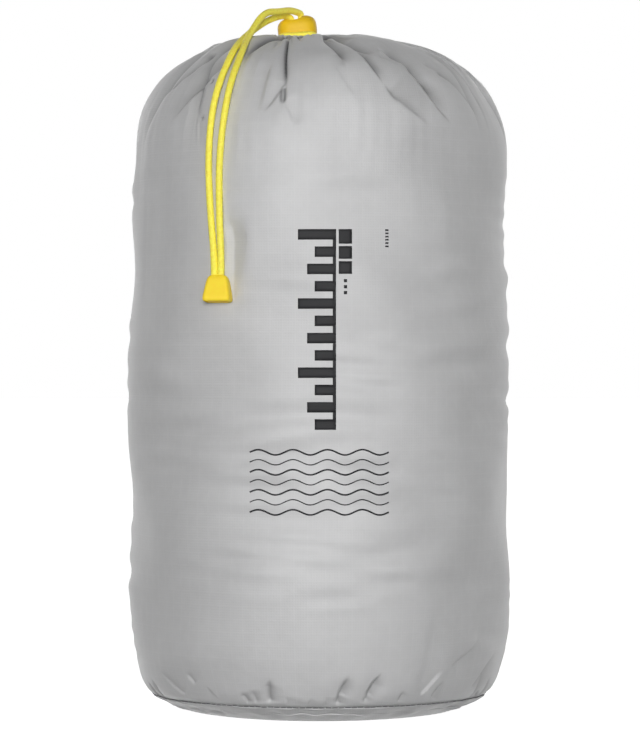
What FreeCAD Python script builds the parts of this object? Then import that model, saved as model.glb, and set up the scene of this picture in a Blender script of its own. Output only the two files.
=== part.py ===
"""Drawstring stuff sack, packed full and standing on its round base.

Frame: origin at the middle of the base on the floor, +Z up, -Y is the front,
+X is the viewer's right.  Millimetres.

The ripstop shell is a sewn tube with a round base panel.  A drawcord runs in
the gathered channel at the mouth, comes up through a spring cord lock and
leaves it as two tails, which hang over the front and end in one cord end.
"""
import FreeCAD, Part
import math
import os

V = FreeCAD.Vector
doc = FreeCAD.newDocument("stuff_sack")

# ---------------------------------------------------------------- dimensions
sheet = doc.addObject("Spreadsheet::Sheet", "Dims")
DIMS = {}


def cell(alias, value):
    row = len(DIMS) + 1
    sheet.set("A%d" % row, alias)
    sheet.set("B%d" % row, repr(value))
    sheet.setAlias("B%d" % row, alias)
    DIMS[alias] = value


# fabric shell: height, outer radius and sideways shift of each level
LEVELS = [
    (6.8, 61.4, 0.0), (8.2, 63.3, 0.0), (10.5, 64.9, 0.0), (14.2, 66.4, 0.0),
    (19.0, 67.8, 0.0), (25.3, 69.2, 0.0), (40.0, 70.0, 0.0), (77.0, 69.6, 0.0),
    (114.0, 69.4, 0.0), (151.0, 69.2, 0.0), (188.0, 68.8, 0.0),
    (206.6, 68.3, 0.0), (214.0, 67.5, 0.0), (221.4, 65.3, 0.0),
    (228.8, 61.2, 0.0), (232.5, 58.4, 0.0), (236.2, 54.2, -0.1),
    (239.9, 48.1, -0.5), (243.6, 40.7, -1.3), (246.3, 33.8, -2.4),
    (248.3, 26.0, -4.0), (249.4, 18.9, -6.2), (249.6, 14.6, -7.4),
]
for i, (z, r, shift) in enumerate(LEVELS):
    cell("level_height_%s" % chr(97 + i), z)
    cell("level_radius_%s" % chr(97 + i), r)
    cell("level_shift_%s" % chr(97 + i), shift)
cell("skin_thickness", 0.6)
cell("contents_gap", 1.5)
cell("contents_base", 1.2)
cell("contents_top", 241.8)
cell("seam_radius", 61.4)
cell("seam_height", 6.8)
cell("base_flat_radius", 50.0)
cell("thread_radius", 0.22)
cell("binding_width", 4.4)
cell("tape_width", 7.0)
cell("mouth_shift", -8.0)
cell("mouth_rim_radius", 12.8)
cell("mouth_rim_height", 248.9)
cell("channel_height", 239.8)
cell("channel_ring_radius", 4.3)
cell("channel_outer_radius", 2.4)
cell("channel_bore_radius", 1.4)
cell("cord_diameter", 2.4)
cell("lock_height", 250.9)
cell("lock_width", 14.4)
cell("lock_tall", 9.7)
cell("lock_front", 7.4)
cell("lock_back", 4.6)
cell("lock_corner", 4.5)
cell("lock_edge", 3.6)
cell("lock_tilt", 6.0)
cell("lock_hole_spacing", 3.7)
cell("lock_hole_radius", 1.35)
cell("cavity_width", 9.6)
cell("cavity_tall", 4.6)
cell("cavity_front", 6.1)
cell("button_clearance", 0.08)
cell("button_travel", 2.4)
cell("button_stem_front", 2.7)
cell("button_head_gap", 2.8)
cell("button_head_thickness", 2.6)
cell("button_head_width", 11.2)
cell("button_head_tall", 6.6)
cell("spring_radius", 1.7)
cell("spring_wire", 0.26)
cell("end_height", 9.9)
cell("end_bottom_width", 9.7)
cell("end_bottom_depth", 6.2)
cell("end_top_width", 6.7)
cell("end_top_depth", 4.2)
cell("end_wall", 0.8)
cell("end_turn", 14.0)
cell("end_lean", 7.0)
doc.recompute()
D = DIMS

PARTS = []


def keep(obj, label):
    """Name a finished sub-part."""
    obj.Label = label
    PARTS.append(obj)
    return obj


# ---------------------------------------------------------------- sketching
def plane(body, role):
    return [f for f in body.Origin.OriginFeatures if f.Role == role][0]


def new_sketch(body, role, name, height=None):
    sk = body.newObject("Sketcher::SketchObject", name)
    sk.AttachmentSupport = [(plane(body, role), "")]
    sk.MapMode = "FlatFace"
    if height is not None:
        sk.setExpression("AttachmentOffset.Base.z", height)
    return sk


def value(expr):
    """The number that an expression over the sheet gives."""
    return float(sheet.evalExpression(expr))


def sketch_circle(sk, cx, cy, radius):
    """A circle whose centre and radius are expressions."""
    import Sketcher

    g = sk.addGeometry(
        Part.Circle(V(value(cx), value(cy), 0), V(0, 0, 1), value(radius)), False
    )
    for kind, expr in (("DistanceX", cx), ("DistanceY", cy)):
        n = value(expr)
        if abs(n) < 1e-9:
            # on the axis: the centre sits on the sketch's own axis line
            sk.addConstraint(
                Sketcher.Constraint(
                    "PointOnObject", g, 3, -2 if kind == "DistanceX" else -1
                )
            )
        else:
            k = sk.addConstraint(Sketcher.Constraint(kind, -1, 1, g, 3, n))
            sk.setExpression("Constraints[%d]" % k, expr)
    k = sk.addConstraint(Sketcher.Constraint("Radius", g, value(radius)))
    sk.setExpression("Constraints[%d]" % k, radius)
    return g


def sketch_polygon(sk, points):
    """A closed polygon.  Each point is a pair of expressions."""
    import Sketcher

    pts = [(value(a), value(b)) for a, b in points]
    n = len(pts)
    ids = []
    for i in range(n):
        a, b = pts[i], pts[(i + 1) % n]
        ids.append(
            sk.addGeometry(Part.LineSegment(V(a[0], a[1], 0), V(b[0], b[1], 0)), False)
        )
    for i in range(n):
        sk.addConstraint(
            Sketcher.Constraint("Coincident", ids[i], 2, ids[(i + 1) % n], 1)
        )
    for i in range(n):
        for kind, expr, num in (
            ("DistanceX", points[i][0], pts[i][0]),
            ("DistanceY", points[i][1], pts[i][1]),
        ):
            if abs(num) < 1e-9:
                sk.addConstraint(
                    Sketcher.Constraint(
                        "PointOnObject", ids[i], 1, -2 if kind == "DistanceX" else -1
                    )
                )
            else:
                k = sk.addConstraint(Sketcher.Constraint(kind, -1, 1, ids[i], 1, num))
                sk.setExpression("Constraints[%d]" % k, expr)
    return ids


def rect_points(half_w, half_h):
    return [
        ("-(%s)" % half_w, "-(%s)" % half_h),
        ("(%s)" % half_w, "-(%s)" % half_h),
        ("(%s)" % half_w, "(%s)" % half_h),
        ("-(%s)" % half_w, "(%s)" % half_h),
    ]


def edges_where(shape, test):
    return ["Edge%d" % (i + 1) for i, e in enumerate(shape.Edges) if test(e)]


# ---------------------------------------------------------------- sack shell
names = [chr(97 + i) for i in range(len(LEVELS))]

sack = doc.addObject("PartDesign::Body", "Sack")
outer = []
for k, n in enumerate(names):
    sk = new_sketch(sack, "XY_Plane", "OuterLevel" + n, "Dims.level_height_" + n)
    sketch_circle(sk, "Dims.level_shift_" + n, "0", "Dims.level_radius_" + n)
    outer.append(sk)
# the last level turns down into the gathered mouth
rim = new_sketch(sack, "XY_Plane", "OuterRim", "Dims.mouth_rim_height + 0.35")
sketch_circle(rim, "Dims.mouth_shift", "0", "Dims.mouth_rim_radius + 0.4")
outer.append(rim)
doc.recompute()
loft = sack.newObject("PartDesign::AdditiveLoft", "ShellOuter")
loft.Profile = outer[0]
loft.Sections = outer[1:]
loft.Ruled = True
doc.recompute()

inner = []
for k, n in enumerate(names[:-3]):
    # the inner face runs one skin thickness inside, with the bottom left open
    height = "Dims.level_height_" + n + (" - 0.5" if k == 0 else "")
    sk = new_sketch(sack, "XY_Plane", "InnerLevel" + n, height)
    sketch_circle(
        sk, "Dims.level_shift_" + n, "0",
        "Dims.level_radius_" + n + " - Dims.skin_thickness * "
        + ("1.0" if D["level_height_" + n] < 235 else "1.6"),
    )
    inner.append(sk)
doc.recompute()
cut = sack.newObject("PartDesign::SubtractiveLoft", "ShellInner")
cut.Profile = inner[0]
cut.Sections = inner[1:]
cut.Ruled = True
doc.recompute()

# the mouth: a funnel from the rim down to the drawcord channel
funnel = sack.newObject("PartDesign::SubtractiveCone", "MouthFunnel")
funnel.setExpression("Radius1", "Dims.channel_ring_radius + Dims.channel_outer_radius + 2.3")
funnel.setExpression("Radius2", "Dims.mouth_rim_radius + 0.4")
funnel.Height = D["mouth_rim_height"] + 0.8 - (D["channel_height"] - D["channel_outer_radius"] - 1.0)
funnel.Angle = 360
funnel.AttachmentSupport = [(plane(sack, "XY_Plane"), "")]
funnel.MapMode = "FlatFace"
funnel.AttachmentOffset = FreeCAD.Placement(
    V(D["mouth_shift"], 0, D["channel_height"] - D["channel_outer_radius"] - 1.0),
    FreeCAD.Rotation(),
)
funnel.setExpression("AttachmentOffset.Base.x", "Dims.mouth_shift")
funnel.setExpression(
    "AttachmentOffset.Base.z", "Dims.channel_height - Dims.channel_outer_radius - 1"
)
doc.recompute()
keep(sack, "sack_body")

# ---------------------------------------------------------------- base panel
base = doc.addObject("PartDesign::Body", "Base")
sk = new_sketch(base, "XZ_Plane", "BaseProfile")
t = "Dims.skin_thickness"
sketch_polygon(
    sk,
    [
        ("0", "0"),
        ("Dims.base_flat_radius", "0"),
        ("Dims.base_flat_radius + 5.2", "0.9"),
        ("Dims.base_flat_radius + 9.2", "2.9"),
        ("Dims.seam_radius", "Dims.seam_height - 0.9"),
        ("Dims.seam_radius", "Dims.seam_height - 0.05"),
        ("Dims.seam_radius - " + t, "Dims.seam_height - 0.05"),
        ("Dims.seam_radius - " + t, "Dims.seam_height - 0.7"),
        ("Dims.base_flat_radius + 8.7", "3.4"),
        ("Dims.base_flat_radius + 4.9", "1.5"),
        ("Dims.base_flat_radius", t),
        ("0", t),
    ],
)
doc.recompute()
rev = base.newObject("PartDesign::Revolution", "BaseTurned")
rev.Profile = sk
rev.ReferenceAxis = (sk, ["V_Axis"])
rev.Angle = 360
doc.recompute()
keep(base, "base_panel")

# bound seam allowance, standing up inside the wall above the seam
bind = doc.addObject("PartDesign::Body", "Binding")
sk = new_sketch(bind, "XZ_Plane", "BindingProfile")
r1 = "Dims.seam_radius - Dims.skin_thickness - 0.1"
sketch_polygon(
    sk,
    [
        (r1 + " - 0.7", "Dims.seam_height + 0.1"),
        (r1, "Dims.seam_height + 0.1"),
        (r1, "Dims.seam_height + 0.1 + Dims.binding_width"),
        (r1 + " - 0.7", "Dims.seam_height + 0.1 + Dims.binding_width"),
    ],
)
doc.recompute()
rev = bind.newObject("PartDesign::Revolution", "BindingTurned")
rev.Profile = sk
rev.ReferenceAxis = (sk, ["V_Axis"])
rev.Angle = 360
doc.recompute()
keep(bind, "base_seam_binding")

# thread line of the base seam, lying in the groove outside
thread = doc.addObject("Part::Torus", "SeamThread")
thread.setExpression("Radius1", "Dims.seam_radius + Dims.thread_radius + 0.02")
thread.setExpression("Radius2", "Dims.thread_radius")
thread.setExpression("Placement.Base.z", "Dims.seam_height - 0.25")
keep(thread, "base_seam_thread")

# side seam: a flat-felled strip up the inside of the wall at the back
tape = doc.addObject("PartDesign::Body", "SideSeam")
sk = new_sketch(tape, "YZ_Plane", "TapeProfile")
run = [n for n in names if 18 < D["level_height_" + n] < 229]
outside = [
    ("Dims.level_radius_%s - Dims.skin_thickness - 0.18" % n, "Dims.level_height_" + n)
    for n in run
]
inside = [
    ("Dims.level_radius_%s - Dims.skin_thickness - 0.68" % n, "Dims.level_height_" + n)
    for n in run
]
sketch_polygon(sk, outside + inside[::-1])
doc.recompute()
pad = tape.newObject("PartDesign::Pad", "TapePad")
pad.Profile = sk
pad.Midplane = True
pad.setExpression("Length", "Dims.tape_width")
doc.recompute()
keep(tape, "side_seam_tape")

# ---------------------------------------------------------------- contents
fill = doc.addObject("PartDesign::Body", "Contents")
sections = []
lower = [
    ("Dims.contents_base", "Dims.base_flat_radius"),
    ("Dims.contents_base + 2.0", "Dims.base_flat_radius + 5.5"),
    ("Dims.contents_base + 5.6", "Dims.base_flat_radius + 9.3"),
    ("Dims.contents_base + 10.6", "Dims.base_flat_radius + 9.9"),
]
for k, (hz, rr) in enumerate(lower):
    sk = new_sketch(fill, "XY_Plane", "FillLow%s" % chr(97 + k), hz)
    sketch_circle(sk, "0", "0", rr)
    sections.append(sk)
for n in names:
    z = D["level_height_" + n]
    if 13 < z < 241:
        sk = new_sketch(fill, "XY_Plane", "FillLevel" + n, "Dims.level_height_" + n + (" - 1.2" if z > 230 else ""))
        sketch_circle(
            sk, "Dims.level_shift_" + n, "0",
            "Dims.level_radius_" + n + " - Dims.contents_gap - Dims.skin_thickness"
            + (" - 0.9" if z > 230 else ""),
        )
        sections.append(sk)
sk = new_sketch(fill, "XY_Plane", "FillTop", "Dims.contents_top - 0.6")
sketch_circle(sk, "-1", "0", "Dims.level_radius_s - 4.2")
sections.append(sk)
sk = new_sketch(fill, "XY_Plane", "FillCrown", "Dims.contents_top + 1.3")
sketch_circle(sk, "1.5", "0", "Dims.level_radius_t - 7.5")
sections.append(sk)
doc.recompute()
loft = fill.newObject("PartDesign::AdditiveLoft", "FillLoft")
loft.Profile = sections[0]
loft.Sections = sections[1:]
loft.Ruled = True
doc.recompute()
# hollow under the gathered mouth
dip = fill.newObject("PartDesign::SubtractiveCone", "MouthDip")
dip.Radius1 = 8.0
dip.Radius2 = 11.6
dip.Height = 8.6
dip.Angle = 360
dip.AttachmentSupport = [(plane(fill, "XY_Plane"), "")]
dip.MapMode = "FlatFace"
dip.AttachmentOffset = FreeCAD.Placement(V(-8, 0, 235.6), FreeCAD.Rotation())
dip.setExpression("AttachmentOffset.Base.x", "Dims.mouth_shift")
dip.setExpression("AttachmentOffset.Base.z", "Dims.channel_height - 4.2")
doc.recompute()
keep(fill, "stuffed_contents")

# ---------------------------------------------------------------- channel
mouth = V(D["mouth_shift"], 0, D["channel_height"])


def torus(name, minor):
    o = doc.addObject("Part::Torus", name)
    o.setExpression("Radius1", "Dims.channel_ring_radius")
    o.setExpression("Radius2", minor)
    o.setExpression("Placement.Base.x", "Dims.mouth_shift")
    o.setExpression("Placement.Base.z", "Dims.channel_height")
    return o


ring = torus("ChannelOuter", "Dims.channel_outer_radius")
bore = torus("ChannelBore", "Dims.channel_bore_radius")
gate = doc.addObject("Part::Box", "ChannelOpening")
gate.Length, gate.Width, gate.Height = 5.4, 8.2, 2.8
gate.setExpression("Placement.Base.x", "Dims.mouth_shift + 1.9")
gate.setExpression("Placement.Base.y", "-Dims.channel_ring_radius + 0.1")
gate.setExpression("Placement.Base.z", "Dims.channel_height + 0.05")
channel1 = doc.addObject("Part::Cut", "ChannelTube")
channel1.Base, channel1.Tool = ring, bore
channel = doc.addObject("Part::Cut", "Channel")
channel.Base, channel.Tool = channel1, gate
keep(channel, "drawcord_channel")

loop = torus("CordLoop", "Dims.cord_diameter / 2")
keep(loop, "drawcord_loop")
doc.recompute()

# ---------------------------------------------------------------- cords
RADII = {}


def route_wire(points, label):
    """Straight runs joined by tangent arcs, each as large as its runs allow."""
    p = [V(*q) for q in points]
    starts, ends, arcs, radii = [], [], [], []
    for i in range(1, len(p) - 1):
        a, b = (p[i - 1] - p[i]), (p[i + 1] - p[i])
        la, lb = a.Length, b.Length
        a.normalize()
        b.normalize()
        turn = math.pi - a.getAngle(b)
        cutback = 0.45 * min(la, lb)
        r = cutback / math.tan(turn / 2)
        s, e = p[i] + a * cutback, p[i] + b * cutback
        bis = a + b
        bis.normalize()
        mid = p[i] + bis * (math.hypot(r, cutback) - r)
        starts.append(s)
        ends.append(e)
        arcs.append(Part.Arc(s, mid, e).toShape())
        radii.append(r)
    edges = []
    here = p[0]
    for s, e, arc in zip(starts, ends, arcs):
        edges.append(Part.LineSegment(here, s).toShape())
        edges.append(arc)
        here = e
    edges.append(Part.LineSegment(here, p[-1]).toShape())
    RADII[label] = [round(r, 1) for r in radii]
    wire = Part.Wire(edges)
    return wire, (p[1] - p[0])


def tube(points, diameter, label):
    wire, first = route_wire(points, label)
    section = Part.Wire([Part.Circle(V(*points[0]), first, diameter / 2).toShape()])
    solid = wire.makePipeShell([section], True, False)
    want = math.pi * diameter ** 2 / 4 * wire.Length
    print(
        "%s: length %.1f, volume %.1f, section x length %.1f, radii %s"
        % (label, wire.Length, solid.Volume, want, RADII[label])
    )
    return solid


tilt = math.radians(D["lock_tilt"])
LOCK = V(D["mouth_shift"], 0, D["lock_height"])
LU = V(math.cos(tilt), 0, math.sin(tilt))      # lock's own right
LW = V(-math.sin(tilt), 0, math.cos(tilt))     # lock's own up
half = D["lock_hole_spacing"] / 2
EXIT = 3.2


def bore_point(side, up):
    """A point on one bore's own axis, measured up from the lock's middle."""
    return LOCK + LU * (side * half) + LW * up


exit_right = bore_point(1, EXIT)
exit_left = bore_point(-1, EXIT)

# the two legs leave the channel's opening; the right one goes straight up its
# bore, the left one crosses in front of the lock first
floor_z = D["channel_height"]
LEG_RIGHT = [(-4.3, 1.7, floor_z + 0.7), tuple(bore_point(1, -5.4)), tuple(exit_right)]
LEG_LEFT = [
    (-4.1, -1.8, floor_z + 0.5), (-2.6, -3.6, floor_z + 4.8), (-1.1, -6.9, 248.2),
    (-3.4, -9.5, 249.6), (-8.2, -9.9, 249.8), (-12.9, -9.7, 248.9),
    (-14.5, -7.3, 245.5), (-12.4, -3.95, 244.15), (-10.3, -1.4, 244.4),
    tuple(bore_point(-1, -4.5)), tuple(exit_left),
]
legs = [
    tube(pts, D["cord_diameter"], "drawcord_legs") for pts in (LEG_RIGHT, LEG_LEFT)
]
leg = doc.addObject("Part::Feature", "Legs")
leg.Shape = Part.makeCompound(legs)
leg.Placement = FreeCAD.Placement()
keep(leg, "drawcord_legs")

# cord end frame: top centre, turned to face front-left and leaning on the wall
TOP = V(-35.5, -62.9, 158.8)
end_rot = FreeCAD.Rotation(V(0, 0, 1), -D["end_turn"]).multiply(
    FreeCAD.Rotation(V(1, 0, 0), -D["end_lean"])
)
end_place = FreeCAD.Placement(TOP, end_rot)
tip_right = end_place.multVec(V(1.25, 0, -4.6))
tip_left = end_place.multVec(V(-1.25, 0, -4.6))
neck_right = end_place.multVec(V(1.22, 0, 5.2))
neck_left = end_place.multVec(V(-1.22, 0, 5.2))

TAIL_RIGHT = [
    tuple(exit_right), tuple(bore_point(1, EXIT + 2.2)), (-7.56, -1.12, 258.2),
    (-8.76, -3.07, 258.85), (-10.9, -6.9, 258.9), (-14.5, -13.0, 258.4),
    (-19.7, -21.1, 256.6), (-26.7, -30.6, 246.7), (-28.2, -46.8, 239.2),
    (-32.4, -59.3, 224.9), (-35.2, -61.4, 202.9), (-35.3, -61.8, 180.6),
    tuple(neck_right), tuple(tip_right),
]
TAIL_LEFT = [
    tuple(exit_left), tuple(bore_point(-1, EXIT + 2.0)), (-11.3, -0.97, 257.35),
    (-12.65, -2.6, 257.75), (-15.1, -6.3, 256.5), (-19.3, -12.2, 253.9),
    (-24.0, -19.1, 250.1), (-28.8, -29.6, 245.2), (-31.3, -46.9, 239.3),
    (-37.2, -57.1, 222.6), (-39.3, -58.7, 203.0), (-38.4, -60.0, 182.0),
    tuple(neck_left), tuple(tip_left),
]
for name, pts in (("tail_cord_right", TAIL_RIGHT), ("tail_cord_left", TAIL_LEFT)):
    o = doc.addObject("Part::Feature", name.title().replace("_", ""))
    o.Shape = tube(pts, D["cord_diameter"], name)
    o.Placement = FreeCAD.Placement()
    keep(o, name)
    print(name, [tuple(round(c, 2) for c in q) for q in pts])

# ---------------------------------------------------------------- cord lock
lock_place = FreeCAD.Placement(LOCK, FreeCAD.Rotation(V(0, 1, 0), -D["lock_tilt"]))

lock = doc.addObject("PartDesign::Body", "Lock")
sk = new_sketch(lock, "XZ_Plane", "LockOutline")
sketch_polygon(sk, rect_points("Dims.lock_width / 2", "Dims.lock_tall / 2"))
doc.recompute()
pad = lock.newObject("PartDesign::Pad", "LockBlock")
pad.Profile = sk
pad.Type = 0
pad.setExpression("Length", "Dims.lock_front")
doc.recompute()
# the sketch's normal is -Y here, so the pad's first side is the front
back = lock.newObject("PartDesign::Pad", "LockBack")
back.Profile = sk
back.Reversed = True
back.setExpression("Length", "Dims.lock_back")
doc.recompute()


def along_y(e):
    if len(e.Vertexes) < 2:
        return False
    d = e.Vertexes[1].Point - e.Vertexes[0].Point
    return abs(d.x) < 1e-6 and abs(d.z) < 1e-6


lock.Tip = back
corner = lock.newObject("PartDesign::Fillet", "LockCorners")
corner.Base = (back, edges_where(back.Shape, along_y))
corner.setExpression("Radius", "Dims.lock_corner")
doc.recompute()
fr = [
    "Edge%d" % (i + 1)
    for i, e in enumerate(corner.Shape.Edges)
    if abs(e.BoundBox.YMin - e.BoundBox.YMax) < 1e-6
    and e.BoundBox.YMin < -D["lock_front"] + 1e-3
]
edge = lock.newObject("PartDesign::Fillet", "LockFrontEdge")
edge.Base = (corner, fr)
edge.setExpression("Radius", "Dims.lock_edge")
doc.recompute()
bk = [
    "Edge%d" % (i + 1)
    for i, e in enumerate(edge.Shape.Edges)
    if abs(e.BoundBox.YMin - e.BoundBox.YMax) < 1e-6
    and e.BoundBox.YMin > D["lock_back"] - 1e-3
]
edge2 = lock.newObject("PartDesign::Fillet", "LockBackEdge")
edge2.Base = (edge, bk)
edge2.Radius = 1.6
doc.recompute()

sk = new_sketch(lock, "XZ_Plane", "CavityOutline", "-Dims.lock_back - 1")
sketch_polygon(sk, rect_points("Dims.cavity_width / 2", "Dims.cavity_tall / 2"))
doc.recompute()
v0 = edge2.Shape.Volume
cav = lock.newObject("PartDesign::Pocket", "Cavity")
cav.Profile = sk
cav.Reversed = True
cav.setExpression("Length", "Dims.lock_back + 1 + Dims.cavity_front")
doc.recompute()
if not cav.Shape.Volume < v0 - 50:
    cav.Reversed = False
    doc.recompute()
assert cav.Shape.Volume < v0 - 50, "cavity"
sk = new_sketch(lock, "XY_Plane", "CordHoles", "-Dims.lock_tall")
sketch_circle(sk, "Dims.lock_hole_spacing / 2", "0", "Dims.lock_hole_radius")
sketch_circle(sk, "-Dims.lock_hole_spacing / 2", "0", "Dims.lock_hole_radius")
doc.recompute()
v0 = cav.Shape.Volume
holes = lock.newObject("PartDesign::Pocket", "CordBores")
holes.Profile = sk
holes.Reversed = True
holes.setExpression("Length", "Dims.lock_tall * 2")
doc.recompute()
assert holes.Shape.Volume < v0 - 10, "bores"
# flared mouths of the two bores, above where the cord turns over, and below
for side in (1, -1):
    for up in (True, False):
        name = "%sFlare%s" % ("Upper" if up else "Lower", "R" if side > 0 else "L")
        flare = lock.newObject("PartDesign::SubtractiveCone", name)
        flare.Height = 2.3 if up else 2.0
        flare.Angle = 360
        flare.AttachmentSupport = [(plane(lock, "XY_Plane"), "")]
        flare.MapMode = "FlatFace"
        flare.AttachmentOffset = FreeCAD.Placement(
            V(side * half, 0, 2.8 if up else -5.15), FreeCAD.Rotation()
        )
        narrow, wide = "Dims.lock_hole_radius", "Dims.lock_hole_radius + %s" % (1.6 if up else 1.4)
        flare.Radius1 = value(narrow if up else wide)
        flare.Radius2 = value(wide if up else narrow)
        flare.setExpression("Radius1", narrow if up else wide)
        flare.setExpression("Radius2", wide if up else narrow)
        flare.setExpression("AttachmentOffset.Base.x", "%d * Dims.lock_hole_spacing / 2" % side)
        doc.recompute()
lock.Placement = lock_place
keep(lock, "cord_lock_body")

# the button: a flat stem with one slot for both cords, and a domed head
btn = doc.addObject("PartDesign::Body", "Button")
sk = new_sketch(btn, "XZ_Plane", "StemOutline", "Dims.button_stem_front")
sketch_polygon(
    sk,
    rect_points(
        "Dims.cavity_width / 2 - Dims.button_clearance",
        "Dims.cavity_tall / 2 - Dims.button_clearance",
    ),
)
doc.recompute()
stem = btn.newObject("PartDesign::Pad", "Stem")
stem.Profile = sk
stem.Reversed = True
stem.setExpression("Length", "Dims.button_stem_front + Dims.lock_back + Dims.button_head_gap")
doc.recompute()
assert stem.Shape.BoundBox.YMax > 5, "stem direction"
sk = new_sketch(btn, "XZ_Plane", "HeadOutline", "-Dims.lock_back - Dims.button_head_gap")
sketch_polygon(sk, rect_points("Dims.button_head_width / 2", "Dims.button_head_tall / 2"))
doc.recompute()
head = btn.newObject("PartDesign::Pad", "Head")
head.Profile = sk
head.Reversed = True
head.setExpression("Length", "Dims.button_head_thickness")
doc.recompute()
hc = [
    "Edge%d" % (i + 1)
    for i, e in enumerate(head.Shape.Edges)
    if along_y(e) and e.BoundBox.YMax > D["lock_back"] + D["button_head_gap"] + 1
    and e.BoundBox.YMin > D["lock_back"] + D["button_head_gap"] - 0.01
]
hf = btn.newObject("PartDesign::Fillet", "HeadCorners")
hf.Base = (head, hc)
hf.Radius = 3.0
doc.recompute()
hb = [
    "Edge%d" % (i + 1)
    for i, e in enumerate(hf.Shape.Edges)
    if abs(e.BoundBox.YMin - e.BoundBox.YMax) < 1e-6
    and e.BoundBox.YMin > D["lock_back"] + D["button_head_gap"] + D["button_head_thickness"] - 1e-3
]
hd = btn.newObject("PartDesign::Fillet", "HeadDome")
hd.Base = (hf, hb)
hd.Radius = 1.7
doc.recompute()
sk = new_sketch(btn, "XY_Plane", "SlotOutline", "-Dims.cavity_tall")
hw = "Dims.lock_hole_spacing / 2 + Dims.lock_hole_radius"
sketch_polygon(
    sk,
    [
        ("-(%s)" % hw, "-1.3"), (hw, "-1.3"),
        (hw, "1.4 + Dims.button_travel"), ("-(%s)" % hw, "1.4 + Dims.button_travel"),
    ],
)
doc.recompute()
v0 = hd.Shape.Volume
slot = btn.newObject("PartDesign::Pocket", "CordSlot")
slot.Profile = sk
slot.Reversed = True
slot.setExpression("Length", "Dims.cavity_tall * 2")
doc.recompute()
assert slot.Shape.Volume < v0 - 20, "slot"
btn.Placement = lock_place
keep(btn, "cord_lock_button")

# the return spring, between the blind end of the cavity and the stem
turns = 3.0
length = D["cavity_front"] - D["button_stem_front"] - 0.12 - D["spring_wire"]
helix = Part.makeHelix(length / turns, length, D["spring_radius"])
circle = Part.Wire(
    [Part.Circle(V(D["spring_radius"], 0, 0), V(0, 1, 0), D["spring_wire"] / 2).toShape()]
)
coil = Part.Wire(helix.Edges).makePipeShell([circle], True, True)
coil.rotate(V(0, 0, 0), V(1, 0, 0), 90)
coil.translate(V(0, -D["button_stem_front"] - 0.06 - D["spring_wire"] / 2, 0))
spring = doc.addObject("Part::Feature", "Spring")
spring.Shape = coil
spring.Placement = lock_place.multiply(coil.Placement)
keep(spring, "cord_lock_spring")

# ---------------------------------------------------------------- cord end
bell = doc.addObject("PartDesign::Body", "Bell")
hgt = "Dims.end_height"


def bell_section(name, height, half_w, half_d, corner=None):
    s = new_sketch(bell, "XY_Plane", name, height)
    if corner is None:
        sketch_polygon(s, rect_points(half_w, half_d))
        return s
    near_w, near_d = "%s - %s" % (half_w, corner), "%s - %s" % (half_d, corner)
    sketch_polygon(
        s,
        [
            ("-(%s)" % near_w, "-(%s)" % half_d), (near_w, "-(%s)" % half_d),
            (half_w, "-(%s)" % near_d), (half_w, near_d),
            (near_w, half_d), ("-(%s)" % near_w, half_d),
            ("-(%s)" % half_w, near_d), ("-(%s)" % half_w, "-(%s)" % near_d),
        ],
    )
    return s


s1 = bell_section("EndBottom", "-" + hgt, "Dims.end_bottom_width / 2 - 0.35", "Dims.end_bottom_depth / 2 - 0.3", "1.1")
s2 = bell_section("EndSkirt", "-%s + 1.3" % hgt, "Dims.end_bottom_width / 2", "Dims.end_bottom_depth / 2", "1.2")
s3 = bell_section("EndShoulder", "-0.8", "Dims.end_top_width / 2 + 0.1", "Dims.end_top_depth / 2 + 0.05", "0.9")
s4 = bell_section("EndTop", "0", "Dims.end_top_width / 2 - 0.5", "Dims.end_top_depth / 2 - 0.5", "0.6")
doc.recompute()
bl = bell.newObject("PartDesign::AdditiveLoft", "EndBlock")
bl.Profile = s1
bl.Sections = [s2, s3, s4]
bl.Ruled = True
doc.recompute()
w = "Dims.end_wall"
c1 = bell_section("CavityBottom", "-%s - 0.01" % hgt, "Dims.end_bottom_width / 2 - %s - 0.1" % w, "Dims.end_bottom_depth / 2 - %s - 0.1" % w)
c2 = bell_section("CavityTop", "-1.5", "Dims.end_top_width / 2 - %s + 0.1" % w, "Dims.end_top_depth / 2 - %s + 0.05" % w)
doc.recompute()
bc = bell.newObject("PartDesign::SubtractiveLoft", "EndCavity")
bc.Profile = c1
bc.Sections = [c2]
bc.Ruled = True
doc.recompute()
s = new_sketch(bell, "XY_Plane", "EndMouth", "-2")
sketch_polygon(s, rect_points("2.55", "1.25"))
doc.recompute()
v0 = bc.Shape.Volume
bm = bell.newObject("PartDesign::Pocket", "EndMouthCut")
bm.Profile = s
bm.Reversed = True
bm.Length = 3
doc.recompute()
assert bm.Shape.Volume < v0 - 5, "end mouth"
bell.Placement = end_place
keep(bell, "cord_end")

cap = doc.addObject("PartDesign::Body", "EndCap")
s = new_sketch(cap, "XY_Plane", "CapOutline", "-%s + 0.35" % hgt)
sketch_polygon(
    s,
    rect_points(
        "Dims.end_bottom_width / 2 - %s - 0.45" % w,
        "Dims.end_bottom_depth / 2 - %s - 0.45" % w,
    ),
)
doc.recompute()
cp = cap.newObject("PartDesign::Pad", "CapPad")
cp.Profile = s
cp.Length = 1.0
doc.recompute()
cap.Placement = end_place
keep(cap, "cord_end_cap")

knot = doc.addObject("Part::Ellipsoid", "Knot")
knot.Radius1, knot.Radius2, knot.Radius3 = 1.9, 3.0, 1.65
knot.Angle1, knot.Angle2, knot.Angle3 = -90, 90, 360
knot.Placement = FreeCAD.Placement(end_place.multVec(V(0, 0, -6.2)), end_rot)
doc.recompute()
keep(knot, "cord_end_knot")

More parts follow.
